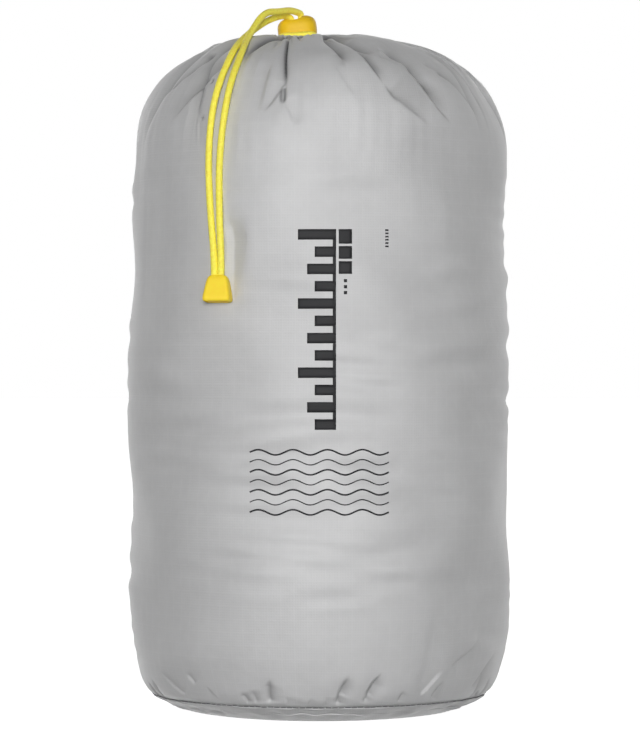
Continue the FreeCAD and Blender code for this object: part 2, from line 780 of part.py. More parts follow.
# ---------------------------------------------------------------- check, write
doc.recompute()
for o in doc.Objects:
    bad = [x for x in o.State if x in ("Invalid", "Error")]
    if bad:
        raise RuntimeError("%s is %s" % (o.Name, bad))
os.makedirs("parts", exist_ok=True)
for o in PARTS:
    s = o.Shape
    if s.isNull() or not s.isValid() or not s.Solids:
        raise RuntimeError("%s has no valid shape" % o.Label)
    b = s.BoundBox
    print(
        "%-20s solids %d  vol %10.1f  x %.1f..%.1f  y %.1f..%.1f  z %.1f..%.1f"
        % (o.Label, len(s.Solids), s.Volume, b.XMin, b.XMax, b.YMin, b.YMax, b.ZMin, b.ZMax)
    )
for o in PARTS:
    o.Shape.exportStep(os.path.join("parts", o.Label + ".step"))
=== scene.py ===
"""Looks of the drawstring stuff sack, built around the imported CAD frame.  Metres."""

import bpy
import math
import numpy as np
from mathutils import Matrix, Quaternion, Vector
from mathutils.bvhtree import BVHTree
from mathutils.kdtree import KDTree


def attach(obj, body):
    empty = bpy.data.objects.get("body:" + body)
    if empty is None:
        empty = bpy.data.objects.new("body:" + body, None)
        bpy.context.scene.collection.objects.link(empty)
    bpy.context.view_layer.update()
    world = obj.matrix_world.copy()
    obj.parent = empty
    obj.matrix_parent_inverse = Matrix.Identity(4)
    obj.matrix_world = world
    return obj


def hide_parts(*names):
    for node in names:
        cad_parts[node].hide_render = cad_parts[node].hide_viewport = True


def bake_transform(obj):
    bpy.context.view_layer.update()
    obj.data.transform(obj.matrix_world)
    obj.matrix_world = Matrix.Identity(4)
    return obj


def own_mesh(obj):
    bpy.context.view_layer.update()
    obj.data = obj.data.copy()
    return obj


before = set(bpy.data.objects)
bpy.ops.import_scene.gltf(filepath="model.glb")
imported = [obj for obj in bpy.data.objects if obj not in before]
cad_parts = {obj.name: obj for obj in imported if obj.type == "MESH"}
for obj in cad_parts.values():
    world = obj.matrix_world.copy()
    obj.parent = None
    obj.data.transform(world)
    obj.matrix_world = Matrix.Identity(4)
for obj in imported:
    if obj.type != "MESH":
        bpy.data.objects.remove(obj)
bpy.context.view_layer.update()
MM = 0.001
RNG = np.random.default_rng(4251)

# =================================================================== camera
scene = bpy.context.scene
cam_data = bpy.data.cameras.new("camera")
cam_data.sensor_fit = "VERTICAL"
cam_data.sensor_width = 36.0
cam_data.sensor_height = 36.0
cam_data.lens = 174.6
cam_data.shift_x = 0.00137
cam_data.shift_y = -0.0148
cam_data.clip_start = 0.05
cam_data.clip_end = 20.0
camera = bpy.data.objects.new("camera", cam_data)
scene.collection.objects.link(camera)
camera.location = (0.0, -1.310, 0.131)
camera.rotation_euler = (math.radians(90), 0, 0)
scene.camera = camera
EYE = np.array([0.0, -1310.0, 131.0])


# ================================================================ mesh tools
def new_mesh(name, verts, faces, smooth=True):
    me = bpy.data.meshes.new(name)
    me.from_pydata([tuple(v) for v in verts], [], [tuple(int(i) for i in f) for f in faces])
    me.validate()
    if smooth:
        me.polygons.foreach_set("use_smooth", [True] * len(me.polygons))
    ob = bpy.data.objects.new(name, me)
    scene.collection.objects.link(ob)
    return ob


def grid_faces(rows, cols, closed=True, base=0):
    """Quads of a rows x cols grid, wrapped round if closed."""
    r = np.arange(rows - 1)[:, None] * cols
    c = np.arange(cols if closed else cols - 1)[None, :]
    n = (c + 1) % cols
    return np.stack(
        [(r + c), (r + n), (r + cols + n), (r + cols + c)], axis=-1
    ).reshape(-1, 4) + base


def smooth_noise(seed, n, k_lo, k_hi, p_lo, p_hi):
    """A sum of waves: whole waves round the sack, and a period in mm along it."""
    g = np.random.default_rng(seed)
    k = g.integers(k_lo, k_hi + 1, n) * g.choice([-1, 1], n)
    f = 2 * math.pi / g.uniform(p_lo, p_hi, n)
    ph = g.uniform(0, 2 * math.pi, n)

    def at(theta, s):
        out = np.zeros(np.broadcast(theta, s).shape)
        for a, b, c in zip(k, f, ph):
            out += np.cos(a * theta + b * s + c)
        return out / math.sqrt(n / 2)

    return at


def sstep(x, a, b):
    t = np.clip((x - a) / (b - a), 0, 1)
    return t * t * (3 - 2 * t)


# ==================================================================== cords
CORD = 2.4
TILT = math.radians(6.0)
LOCK = np.array([-8.0, 0.0, 250.9])
LU = np.array([math.cos(TILT), 0, math.sin(TILT)])
LW = np.array([-math.sin(TILT), 0, math.cos(TILT)])
EXIT = 3.2


def bore_point(side, up):
    return LOCK + LU * (side * 1.85) + LW * up


def end_frame():
    """The cord end's own frame: its top's middle, and its three directions."""
    turn = Matrix.Rotation(math.radians(-14.0), 3, "Z") @ Matrix.Rotation(math.radians(-7.0), 3, "X")
    return np.array([-35.5, -62.9, 158.8]), np.array(turn)


END_AT, END_ROT = end_frame()


def end_point(x, y, z):
    return END_AT + END_ROT @ np.array([x, y, z], float)


TAIL_RIGHT = [
    bore_point(1, EXIT), bore_point(1, EXIT + 1.7), (-6.85, -0.5, 257.0),
    (-8.4, -2.5, 257.4), (-10.9, -6.6, 257.65), (-14.5, -12.8, 256.5),
    (-20.1, -20.9, 255.6), (-25.35, -30.4, 246.2), (-27.45, -46.7, 239.2),
    (-32.1, -59.4, 224.9), (-35.2, -61.4, 202.9), (-35.2, -61.8, 180.6),
    end_point(0.95, 0, 5.2), end_point(1.15, 0, -4.4),
]
TAIL_LEFT = [
    bore_point(-1, EXIT), bore_point(-1, EXIT + 1.2), (-11.1, -0.8, 255.7),
    (-12.7, -2.5, 256.0), (-15.1, -6.3, 255.35), (-19.1, -12.2, 253.2),
    (-23.2, -19.1, 249.8), (-27.7, -29.4, 244.9), (-30.9, -46.7, 239.2),
    (-37.1, -57.1, 222.8), (-39.3, -58.7, 203.0), (-38.5, -60.0, 182.0),
    end_point(-1.45, 0, 5.2), end_point(-1.3, 0, -4.4),
]
LEG_RIGHT = [(-4.3, 1.7, 240.5), bore_point(1, -5.4), bore_point(1, EXIT)]
LEG_LEFT = [
    (-4.1, -1.8, 240.3), (-2.6, -3.6, 244.3), (-0.9, -6.7, 247.2),
    (-2.4, -9.5, 248.75), (-8.2, -9.9, 247.95), (-13.9, -9.7, 247.9),
    (-15.5, -7.3, 246.0), (-12.8, -3.95, 244.2), (-10.4, -1.4, 244.4),
    bore_point(-1, -4.5), bore_point(-1, EXIT),
]


def cord_line(points):
    """The cord's smooth centreline: a NURBS spline with the route as its control points."""
    cu = bpy.data.curves.new("route", "CURVE")
    cu.dimensions = "3D"
    cu.resolution_u = 24
    sp = cu.splines.new("NURBS")
    sp.points.add(len(points) - 1)
    for p, q in zip(sp.points, points):
        p.co = (q[0] * MM, q[1] * MM, q[2] * MM, 1.0)
    sp.order_u = 3
    sp.use_endpoint_u = True
    ob = bpy.data.objects.new("route", cu)
    scene.collection.objects.link(ob)
    bpy.context.view_layer.update()
    me = bpy.data.meshes.new_from_object(ob)
    co = np.array([v.co[:] for v in me.vertices])
    bpy.data.objects.remove(ob)
    bpy.data.meshes.remove(me)
    bpy.data.curves.remove(cu)
    keep = np.r_[True, np.linalg.norm(np.diff(co, axis=0), axis=1) > 1e-7]
    return co[keep]


def resample(line, step):
    seg = np.linalg.norm(np.diff(line, axis=0), axis=1)
    at = np.r_[0, np.cumsum(seg)]
    n = max(int(round(at[-1] / step)), 4)
    want = np.linspace(0, at[-1], n + 1)
    return np.stack([np.interp(want, at, line[:, i]) for i in range(3)], axis=1), want


def frames_along(line):
    """Tangent and two normals at each point, carried along without twist."""
    t = np.gradient(line, axis=0)
    t /= np.linalg.norm(t, axis=1)[:, None]
    n = np.zeros_like(t)
    a = np.array([0.0, 1.0, 0.0]) if abs(t[0][1]) < 0.9 else np.array([1.0, 0, 0])
    n[0] = a - t[0] * (a @ t[0])
    n[0] /= np.linalg.norm(n[0])
    for i in range(1, len(t)):
        v = n[i - 1] - t[i] * (n[i - 1] @ t[i])
        n[i] = v / np.linalg.norm(v)
    return t, n, np.cross(t, n)


def braid(line, radius, step=0.00026, around=48, relief=0.0001, strands=8, pitch=0.0058, seed=1):
    """Vertices and faces of a braided cord round a centreline, closed at both ends."""
    pts, s = resample(line, step)
    t, n, b = frames_along(pts)
    ang = np.linspace(0, 2 * math.pi, around, endpoint=False)
    u = ang[None, :] / (2 * math.pi) * strands + s[:, None] / pitch * strands / 2
    v = ang[None, :] / (2 * math.pi) * strands - s[:, None] / pitch * strands / 2
    over = ((np.floor(u) + np.floor(v)) % 2)
    fu, fv = u - np.floor(u), v - np.floor(v)
    # each cell shows one strand, rounded across its width and rising over its middle
    across = np.where(over > 0.5, fu, fv)
    along = np.where(over > 0.5, fv, fu)
    bulge = np.sqrt(np.clip(1 - (2 * across - 1) ** 2, 0, 1)) * (0.55 + 0.45 * np.sin(math.pi * along))
    g = np.random.default_rng(seed)
    slow = 1 + 0.018 * np.interp(s, np.linspace(0, s[-1], 40), g.normal(0, 1, 40))[:, None]
    r = radius * slow + relief * (bulge - 0.62)
    ring = (
        pts[:, None, :]
        + r[..., None] * (np.cos(ang)[None, :, None] * n[:, None, :] + np.sin(ang)[None, :, None] * b[:, None, :])
    )
    # rounded ends
    caps = []
    for end, sign in ((0, -1), (-1, 1)):
        c, d, base = pts[end], t[end] * sign, ring[end]
        for k in (0.45, 0.8):
            a = k * math.pi / 2
            caps.append(c + (base - c) * math.cos(a) + d * radius * 0.35 * math.sin(a))
        caps.append((c + d * radius * 0.36)[None, :])
    verts = np.concatenate([
        caps[2], caps[1], caps[0], ring.reshape(-1, 3), caps[3], caps[4], caps[5],
    ])
    rows = len(pts) + 4
    faces = grid_faces(rows, around, True, 1).tolist()
    last = 1 + (rows - 1) * around
    tip = len(verts) - 1
    faces += [(0, 1 + (i + 1) % around, 1 + i) for i in range(around)]
    faces += [(tip, last + i, last + (i + 1) % around) for i in range(around)]
    return verts, faces


def braided_object(name, lines, radius=CORD / 2 * MM, **kw):
    verts, faces, base = [], [], 0
    for i, line in enumerate(lines):
        v, f = braid(line, radius, seed=11 + i, **kw)
        verts.append(v)
        faces += [tuple(np.array(q) + base) for q in f]
        base += len(v)
    ob = new_mesh(name, np.concatenate(verts), faces)
    return ob


line_right = cord_line(TAIL_RIGHT)
line_left = cord_line(TAIL_LEFT)
legs_lines = [cord_line(LEG_RIGHT), cord_line(LEG_LEFT)]
cord_right = braided_object("cord_tail_right", [line_right])
cord_left = braided_object("cord_tail_left", [line_left])
cord_legs = braided_object("cord_legs", legs_lines)

# ============================================================ sack surface
# outline of the skin, from the base seam up over the dome and down the mouth
PROFILE = np.array([
    (60.2, 6.1), (61.0, 6.35), (61.9, 6.75), (63.4, 7.9), (65.0, 10.3), (66.5, 14.1),
    (67.8, 18.9), (69.1, 25.3), (69.9, 38.0), (70.0, 55.0), (69.7, 77.0), (69.5, 114.0),
    (69.3, 151.0), (68.9, 188.0), (68.4, 206.6), (67.5, 214.0), (65.4, 221.4),
    (61.4, 228.8), (58.5, 232.5), (54.3, 236.2), (48.2, 239.9), (40.9, 243.5),
    (33.9, 246.1), (26.5, 248.0), (20.0, 248.9), (16.4, 249.2), (14.2, 249.0),
    (12.9, 248.2), (12.0, 246.8), (10.9, 244.6), (9.2, 242.6), (7.2, 241.4), (5.0, 240.8),
])


def chaikin(p, n):
    for _ in range(n):
        q = np.empty((2 * len(p), p.shape[1]))
        q[0], q[-1] = p[0], p[-1]
        a, b = p[:-1], p[1:]
        q[1:-1:2] = 0.75 * a + 0.25 * b
        q[2:-1:2] = 0.25 * a + 0.75 * b
        p = q
    return p


prof = chaikin(PROFILE, 3)
arc = np.r_[0, np.cumsum(np.linalg.norm(np.diff(prof, axis=0), axis=1))]
crest = arc[prof[:, 1].argmax()]

# rows: fine at the seam and on the dome, coarser on the wall
want = [0.0]
while want[-1] < arc[-1]:
    here = want[-1]
    m = crest - here
    step = 0.5 if here < 16 else (0.5 + (here - 16) * 0.06 if here < 30 else 1.3)
    step = min(step, 1.3 if m > 80 else (0.7 if m > 52 else 0.45))
    want.append(here + step)
want[-1] = arc[-1]
S = np.array(want)
ROWS, COLS = len(S), 960
Rr, Zr = np.interp(S, arc, prof[:, 0]), np.interp(S, arc, prof[:, 1])
Mr = crest - S                                   # distance out from the mouth's crest
Zr = Zr - 0.9 * (1 - sstep(Mr, 4, 24)) * sstep(Zr, 243, 248)
shift_z = np.array([(0, 0), (228, 0), (234, -0.1), (239.9, -0.5), (243.6, -1.4), (246.3, -2.6), (248.2, -4.6), (249.1, -6.6), (249.3, -8.0)])
Cx = np.interp(Zr, shift_z[:, 0], shift_z[:, 1])
Cx = np.where(Mr < 0, -8.0, Cx)
Cx = np.convolve(np.pad(Cx, 6, mode="edge"), np.ones(13) / 13, mode="valid")

TH = np.linspace(0, 2 * math.pi, COLS, endpoint=False)  # 0 is the front, +X is 90 degrees
theta, srow = np.meshgrid(TH, S)
mrow = np.repeat(Mr[:, None], COLS, 1)


def surface(radius, height, shift):
    """Points of a surface of turning whose centre line leans."""
    x = shift[:, None] + radius[:, None] * np.sin(TH)[None, :]
    y = -radius[:, None] * np.cos(TH)[None, :]
    z = np.repeat(height[:, None], COLS, 1)
    return np.stack([x, y, z], -1)


base_pts = surface(Rr, Zr, Cx)
# the front of the mouth sags a little under the lock
turn_round = (TH + math.pi) % (2 * math.pi) - math.pi
inside = np.where(Mr < 0, sstep(Zr, 241, 246), 1.0)
base_pts[..., 2] -= (1.05 * np.exp(-((turn_round / 0.62) ** 2))[None, :]
                     * ((1 - sstep(Mr, 18, 42)) * inside)[:, None])


def grid_normals(p):
    du = np.roll(p, -1, 1) - np.roll(p, 1, 1)
    dv = np.gradient(p, axis=0)
    n = np.cross(du, dv)
    ln = np.linalg.norm(n, axis=-1, keepdims=True)
    return n / np.maximum(ln, 1e-12)


base_nrm = grid_normals(base_pts)
if base_nrm[ROWS // 2, 0, 1] > 0:
    base_nrm = -base_nrm

# where each point of the front shows in the front elevation
ray = base_pts - EYE
k_plane = -EYE[1] / ray[..., 1]
elev = EYE[[0, 2]] + ray[..., [0, 2]] * k_plane[..., None]
facing = ((base_nrm * ray).sum(-1) < 0) & (mrow > 0.8)
elev_flat = np.where(facing.reshape(-1, 1), elev.reshape(-1, 2), 1e6)
base_flat = base_pts.reshape(-1, 3)
nrm_flat = base_nrm.reshape(-1, 3)


def on_front(x, z):
    """The skin's own point that shows at x, z in the front elevation."""
    d = (elev_flat[:, 0] - x) ** 2 + (elev_flat[:, 1] - z) ** 2
    i = np.argsort(d)[:3]
    w = 1 / (d[i] + 1e-4)
    return (base_flat[i] * w[:, None]).sum(0) / w.sum()


def at_angle(deg, m):
    """The skin's point at an angle round the sack and a distance out from the mouth."""
    a = math.radians(deg)
    s = crest - m
    r, z, c = np.interp(s, arc, prof[:, 0]), np.interp(s, arc, prof[:, 1]), np.interp(s, S, Cx)
    return np.array([c + r * math.sin(a), -r * math.cos(a), z])


height = np.zeros((ROWS, COLS)).reshape(-1)
# painted shade of the creases, from 0 to 1, later laid into the cloth's colour
fold = np.zeros(ROWS * COLS)


def crease(points, depth, width, shoulder=0.0, reach=2.5, side=0.0, side_reach=7.0,
           valley=0.0, valley_width=5.0, fade=(0.12, 0.35), curve=1.0, dark=None, core=None, dark_reach=2.2):
    """Presses a fold into the skin along a line of points.

    depth and width make the sharp valley; side lifts one bank of it so that the cloth
    there overlaps; valley is the broad hollow round it; fade is how much of each end
    runs out to nothing.
    """
    p = np.array([q for q in points], float)
    if curve:
        p = chaikin(p, 2)
    line, s = resample(p, 0.4)
    total = s[-1]
    far = 2.2 * side_reach + 3 if side else 2.2 * valley_width + 3
    lo, hi = line.min(0) - far, line.max(0) + far
    idx = np.where(((base_flat > lo) & (base_flat < hi)).all(1))[0]
    if not len(idx):
        return
    q, n = base_flat[idx], nrm_flat[idx]
    t = np.gradient(line, axis=0)
    t /= np.linalg.norm(t, axis=1)[:, None]
    best, near = np.full(len(idx), 1e9), np.zeros(len(idx), int)
    for j in range(len(line)):
        d = ((q - line[j]) ** 2).sum(1)
        m = d < best
        best[m], near[m] = d[m], j
    off = q - line[near]
    along = (off * t[near]).sum(1)
    perp = off - along[:, None] * t[near]
    across = (np.cross(t[near], n) * perp).sum(1)
    # beyond the ends, the distance to the end point counts
    dist = np.sqrt(best)
    end = (near == 0) | (near == len(line) - 1)
    a = np.where(end, dist, np.abs(across))
    f = np.clip(s[near] + np.where(end, 0.0, along), 0, total) / total
    env = sstep(f, 0, fade[0] + 1e-6) * (1 - sstep(f, 1 - fade[1], 1.0)) if fade[0] > 0 else (1 - sstep(f, 1 - fade[1], 1.0))
    env = np.where(end & (dist > np.abs(across) + 0.4), env * np.exp(-((dist - np.abs(across)) / 2.0) ** 2), env)
    sg = np.sign(across)
    h = -depth * np.exp(-(a / width)) * env
    if shoulder:
        h += shoulder * np.exp(-((a - 1.6 * width) / (1.4 * width)) ** 2) * env
    if side:
        bank = np.where(sg * np.sign(side) > 0, np.exp(-a / side_reach), -0.35 * np.exp(-a / (0.6 * side_reach)))
        soft = 1 - np.exp(-((a / (0.55 * width + 0.15)) ** 2))
        h += abs(side) * bank * soft * env * sstep(f, 0, max(fade[0], 0.3))
    if valley:
        h += -valley * np.exp(-((a / valley_width) ** 2)) * env * sstep(f, 0, max(fade[0], 0.22))
    height[idx] += h
    # dark is the strength of the painted shade along the crease; core and dark_reach are its width on the crease and
    # on the sunken bank
    if dark is None:
        dark = min(0.3 * depth, 0.42)
    if dark:
        # painted shade: the crease and its sunken bank are darkened in the skin's colour, through the fold attribute,
        # standing in for the fold's own shade
        shade = np.exp(-((a / (core or 0.35 + 0.45 * width)) ** 2))
        if side:
            low_bank = sg * np.sign(side) < 0
            shade = np.maximum(shade, np.where(low_bank, 0.93 * np.exp(-((a / dark_reach) ** 1.5)), 0.0))
        fold[idx] = 1 - (1 - fold[idx]) * (1 - np.clip(dark, 0, 1) * shade * env)


def front(points, *a, **k):
    line = [on_front(x, z) for x, z in points]
    first = line[0]
    if points[0][1] > 245.5:
        # the folds of the dome all start at the mouth
        c = -8.0 if first[2] > 246 else -6.0
        out_r = math.hypot(first[0] - c, first[1])
        if out_r > 19:
            deg = math.degrees(math.atan2(first[0] - c, -first[1]))
            m0 = out_r - 16.5
            line = [at_angle(deg, 1.5), at_angle(deg, 0.5 * m0 + 0.7)] + line
    crease(line, *a, **k)


# ---- broad shape: soft lumps of the packing, and ripples of slack cloth
lumps = smooth_noise(3, 14, 2, 5, 70, 170)
mid = smooth_noise(5, 22, 3, 9, 38, 80)
ripple = smooth_noise(8, 34, 1, 7, 9, 22)
ripple2 = smooth_noise(9, 34, 2, 10, 6, 13)
patch = smooth_noise(21, 8, 1, 3, 60, 140)
patch2 = smooth_noise(22, 8, 1, 4, 40, 110)
upright = smooth_noise(31, 26, 14, 34, 60, 200)
upright2 = smooth_noise(33, 40, 42, 96, 50, 160)

wall = sstep(srow, 4, 40) * sstep(mrow, 22, 60)
H = height.reshape(ROWS, COLS)
H += 0.75 * lumps(theta, srow) * sstep(srow, 0, 30) * sstep(mrow, 8, 60)
H += 0.40 * mid(theta, srow) * sstep(srow, 2, 24) * sstep(mrow, 6, 40)
pa = sstep(patch(theta, srow), -0.3, 1.1)
pb = sstep(patch2(theta, srow), -0.2, 1.2)
slack = wall * sstep(mrow, 72, 104)
H += 0.38 * ripple(theta, srow) * pa * slack
H += 0.18 * ripple2(theta, srow) * pb * slack
H += 0.055 * upright2(theta, srow) * sstep(mrow, 6, 24) * (1 - sstep(mrow, 60, 105)) * (0.35 + 0.65 * pa)
H += 0.10 * upright(theta, srow) * sstep(mrow, 10, 40) * (1 - sstep(mrow, 60, 130)) * (0.4 + 0.6 * pb)

# ---- gathers round the mouth: cloth of the full girth drawn in to a small ring
warp = theta + 0.10 * np.sin(3 * theta + 1.0) + 0.07 * np.sin(5 * theta + 2.1) + 0.045 * np.sin(8 * theta + 0.4)
bend = 0.10 * np.sin(2 * theta + mrow / 17.0) + 0.05 * np.sin(5 * theta - mrow / 9.0)


def pleat(n, phase, sharp):
    w = np.abs(np.sin((warp + bend) * n / 2 + phase))
    return w ** sharp - 0.72


out_m = np.clip(mrow, 0, None)
H += 0.50 * pleat(26, 0.4, 0.55) * np.exp(-out_m / 8.0) * sstep(mrow, -14, 1)
H += 0.40 * pleat(26, 0.4, 0.55) * sstep(-mrow, -1, 3)
H += 0.34 * pleat(61, 1.3, 0.75) * np.exp(-out_m / 8.0)
H += 0.10 * pleat(17, 2.2, 0.6) * np.exp(-((mrow - 20) / 14.0) ** 2)
height = H.reshape(-1)

FRONT = {
    "slit": [(-11.1, 248.4), (-12.0, 244.7), (-12.6, 238.4), (-12.4, 232.5), (-12.9, 229.1)],
    "slit_u1": [(-12.8, 229.9), (-12.7, 227.3), (-12.9, 225.1), (-13.5, 223.4)],
    "slit_u2": [(-14.0, 229.9), (-14.3, 227.3), (-14.1, 224.7), (-13.6, 223.3)],
    "slit_left": [(-12.4, 232.5), (-17.4, 225.1), (-21.1, 220.6)],
    "C2": [(-18.5, 248.0), (-22.0, 246.1), (-25.9, 243.2), (-27.9, 240.7)],
    "C2b": [(-15.5, 248.0), (-16.3, 246.1), (-17.4, 242.8)],
    "C3": [(-6.7, 248.5), (-7.1, 246.9), (-7.4, 245.0)],
    "A": [(1.5, 247.3), (4.8, 243.7), (7.3, 240.7), (10.7, 237.3), (11.1, 236.2)],
    "A2": [(7.3, 240.7), (8.9, 237.6), (9.4, 235.4)],
    "B": [(6.3, 247.6), (10.7, 244.7), (15.7, 240.2), (20.6, 234.3), (23.9, 230.2)],
    "B2": [(23.9, 230.2), (27.0, 226.2), (29.6, 222.1)],
    "C": [(8.9, 247.3), (14.2, 245.2), (18.1, 242.2), (21.6, 240.7)],
    "C_ext": [(21.6, 240.7), (26.6, 239.1), (30.0, 236.9)],
    "D": [(20.6, 244.3), (24.6, 242.8), (28.1, 240.2), (32.6, 237.3), (37.0, 231.3), (41.1, 225.8), (44.8, 221.0), (49.6, 216.5)],
    "D2": [(32.6, 237.3), (35.9, 233.9), (38.9, 232.1), (42.2, 226.9)],
    "E": [(42.9, 235.4), (52.5, 226.9), (58.8, 219.1)],
    "E2": [(37.7, 239.1), (46.6, 233.2), (54.4, 228.0)],
    "F": [(30.7, 245.8), (37.4, 242.8), (44.8, 239.1), (51.4, 233.9)],
    "F2": [(22.6, 247.3), (28.1, 246.1), (34.4, 244.3)],
    "L1": [(-38.1, 243.2), (-41.8, 240.2), (-47.4, 236.5), (-55.1, 229.5), (-60.3, 225.1)],
    "L2": [(-32.9, 239.9), (-39.6, 235.0), (-45.9, 229.5), (-51.1, 222.8), (-55.5, 215.4)],
    "L3": [(-28.9, 245.8), (-34.4, 242.8), (-39.2, 239.1), (-42.9, 234.7)],
    "L4": [(-23.3, 248.0), (-28.1, 246.5), (-32.6, 244.7), (-37.0, 242.1)],
    "L5": [(-21.1, 248.5), (-25.5, 247.8), (-29.2, 246.9)],
    "L6": [(-21.1, 246.5), (-24.8, 243.6), (-27.0, 240.6), (-28.5, 237.6)],
    "M1": [(-8.5, 248.9), (-7.6, 247.3), (-6.1, 245.3)],
    "M2": [(-4.2, 248.9), (-2.9, 247.8), (-1.3, 246.4)],
    "M3": [(-13.3, 248.6), (-14.2, 246.9), (-14.8, 244.6)],
    "M4": [(-19.6, 247.2), (-23.3, 245.6), (-27.7, 242.4)],
    "M5": [(0.4, 248.9), (3.6, 247.4), (7.0, 245.2)],
    "M6": [(-10.4, 248.4), (-9.9, 246.3), (-9.8, 243.8)],
    "N1": [(-39.6, 233.6), (-40.9, 231.3)],
    "N2": [(-43.7, 219.9), (-44.2, 218.0)],
    "S1": [(24.8, 228.8), (31.4, 222.8), (41.1, 216.2)],
    "W1": [(-13.3, 225.1), (-10.4, 220.6), (-8.5, 215.4)],
    "W2": [(-17.4, 239.9), (-20.4, 232.5), (-22.2, 225.1), (-23.3, 218.4)],
    "W3": [(-5.2, 243.6), (-5.9, 236.2), (-7.0, 228.0)],
    "W4": [(4.1, 239.1), (9.6, 231.0), (15.9, 223.6)],
}
# dark, core and dark_reach of each crease set its painted shade, darkening the cloth's colour in and beside the fold
HOW = {
    "slit": dict(depth=3.2, width=0.36, dark=0.97, core=0.55, dark_reach=0.6, valley=1.1, valley_width=2.2, side=-0.5, side_reach=5, fade=(0.0, 0.2)),
    "slit_u1": dict(depth=1.1, width=0.4, dark=0.7, fade=(0.1, 0.3)),
    "slit_u2": dict(depth=0.8, width=0.35, dark=0.6, fade=(0.2, 0.3)),
    "slit_left": dict(depth=0.3, width=0.8, side=-0.7, side_reach=6, valley=0.5, valley_width=3.5),
    "C2": dict(depth=1.6, width=0.8, dark=0.55, core=0.9, side=1.1, side_reach=5, valley=0.8, valley_width=3, fade=(0.05, 0.4)),
    "C2b": dict(depth=0.8, width=1.0, valley=1.0, valley_width=2.5),
    "C3": dict(depth=2.2, width=0.8, dark=0.75, core=1.1, valley=1.0, valley_width=2.2, fade=(0.0, 0.8)),
    "A": dict(depth=1.9, width=0.6, dark=0.66, core=0.9, dark_reach=2.6, side=1.5, side_reach=6, valley=1.2, valley_width=3.0, fade=(0.05, 0.2)),
    "A2": dict(depth=0.7, width=0.5, side=-0.3, side_reach=4),
    "B": dict(depth=1.7, width=0.45, dark=0.74, core=0.6, dark_reach=2.0, side=1.3, side_reach=6, valley=0.6, valley_width=3, fade=(0.05, 0.15)),
    "B2": dict(depth=0.3, width=1.0, side=0.7, side_reach=7, valley=0.5, valley_width=5, fade=(0.1, 0.6)),
    "C": dict(depth=2.8, width=1.2, dark=0.74, core=1.5, dark_reach=2.6, side=1.6, side_reach=6, valley=1.9, valley_width=3.6, fade=(0.05, 0.25)),
    "C_ext": dict(depth=0.5, width=1.2, side=0.7, side_reach=6, valley=0.6, valley_width=4, fade=(0.1, 0.6)),
    "D": dict(depth=2.4, width=0.7, dark=0.82, core=0.8, dark_reach=3.8, side=2.6, side_reach=7, valley=1.5, valley_width=4.5, fade=(0.2, 0.35)),
    "D2": dict(depth=0.9, width=0.7, dark=0.3, side=0.9, side_reach=5, valley=1.2, valley_width=3, fade=(0.1, 0.5), core=1.2),
    "E": dict(depth=1.0, width=0.5, dark=0.62, core=0.6, dark_reach=1.7, side=1.2, side_reach=6, valley=0.5, valley_width=4.0, fade=(0.1, 0.3)),
    "E2": dict(depth=0.4, width=0.6, dark=0.25, side=0.7, side_reach=5, valley=0.4, valley_width=4),
    "F": dict(depth=0.9, width=0.6, dark=0.55, core=1.0, side=1.0, side_reach=6, valley=0.6, valley_width=4),
    "F2": dict(depth=0.9, width=0.7, dark=0.5, core=1.2, side=0.8, side_reach=5, valley=0.5, valley_width=3),
    "L1": dict(depth=1.4, width=0.5, dark=0.72, core=0.7, dark_reach=2.2, side=-1.4, side_reach=7, valley=0.6, valley_width=4.0, fade=(0.1, 0.3)),
    "L2": dict(depth=0.6, width=0.8, dark=0.35, dark_reach=4, side=-1.1, side_reach=7, valley=0.7, valley_width=5, fade=(0.1, 0.4)),
    "L3": dict(depth=1.0, width=0.5, dark=0.65, core=0.7, side=-1.0, side_reach=5, valley=0.5, valley_width=3.5),
    "L4": dict(depth=1.0, width=0.6, dark=0.65, core=0.8, side=-0.9, side_reach=4, valley=0.4, valley_width=3),
    "L5": dict(depth=1.0, width=0.6, side=-0.7, side_reach=3, valley=0.4, valley_width=3),
    "L6": dict(depth=1.0, width=0.7, dark=0.6, core=0.8, side=-0.8, side_reach=4, valley=0.6, valley_width=3),
    "M1": dict(depth=0.9, width=0.4, side=0.3, side_reach=2.5, dark=0.6, dark_reach=1.0, fade=(0.05, 0.5), core=0.8),
    "M2": dict(depth=0.9, width=0.4, side=0.3, side_reach=2.5, dark=0.6, dark_reach=1.0, fade=(0.05, 0.5), core=0.8),
    "M3": dict(depth=0.8, width=0.4, side=-0.3, side_reach=2.5, dark=0.35, dark_reach=1.0, fade=(0.05, 0.5)),
    "M4": dict(depth=0.9, width=0.4, side=-0.5, side_reach=3, dark=0.6, dark_reach=1.4, fade=(0.05, 0.5), core=0.8),
    "M5": dict(depth=0.9, width=0.4, side=0.5, side_reach=3, dark=0.6, dark_reach=1.2, fade=(0.05, 0.5), core=0.9),
    "M6": dict(depth=0.5, width=0.4, side=0.2, side_reach=2, dark=0.25, dark_reach=0.8, fade=(0.05, 0.5)),
    "N1": dict(depth=0.9, width=0.45, dark=0.65, valley=0.3, valley_width=2),
    "N2": dict(depth=0.8, width=0.4, dark=0.65, valley=0.3, valley_width=2),
    "S1": dict(depth=0.2, width=1.5, dark=0.22, dark_reach=8, side=1.0, side_reach=8, valley=0.3, valley_width=5),
    "W1": dict(depth=0.15, width=1.0, side=0.4, side_reach=6, valley=0.2, valley_width=4),
    "W2": dict(depth=0.2, width=1.2, side=-0.5, side_reach=7, valley=0.3, valley_width=5),
    "W3": dict(depth=0.0, width=1.0, side=0.0, side_reach=6, valley=0.35, valley_width=6),
    "W4": dict(depth=0.1, width=1.2, side=0.5, side_reach=7, valley=0.3, valley_width=5),
}
for name, pts in FRONT.items():
    front(pts, **HOW[name])

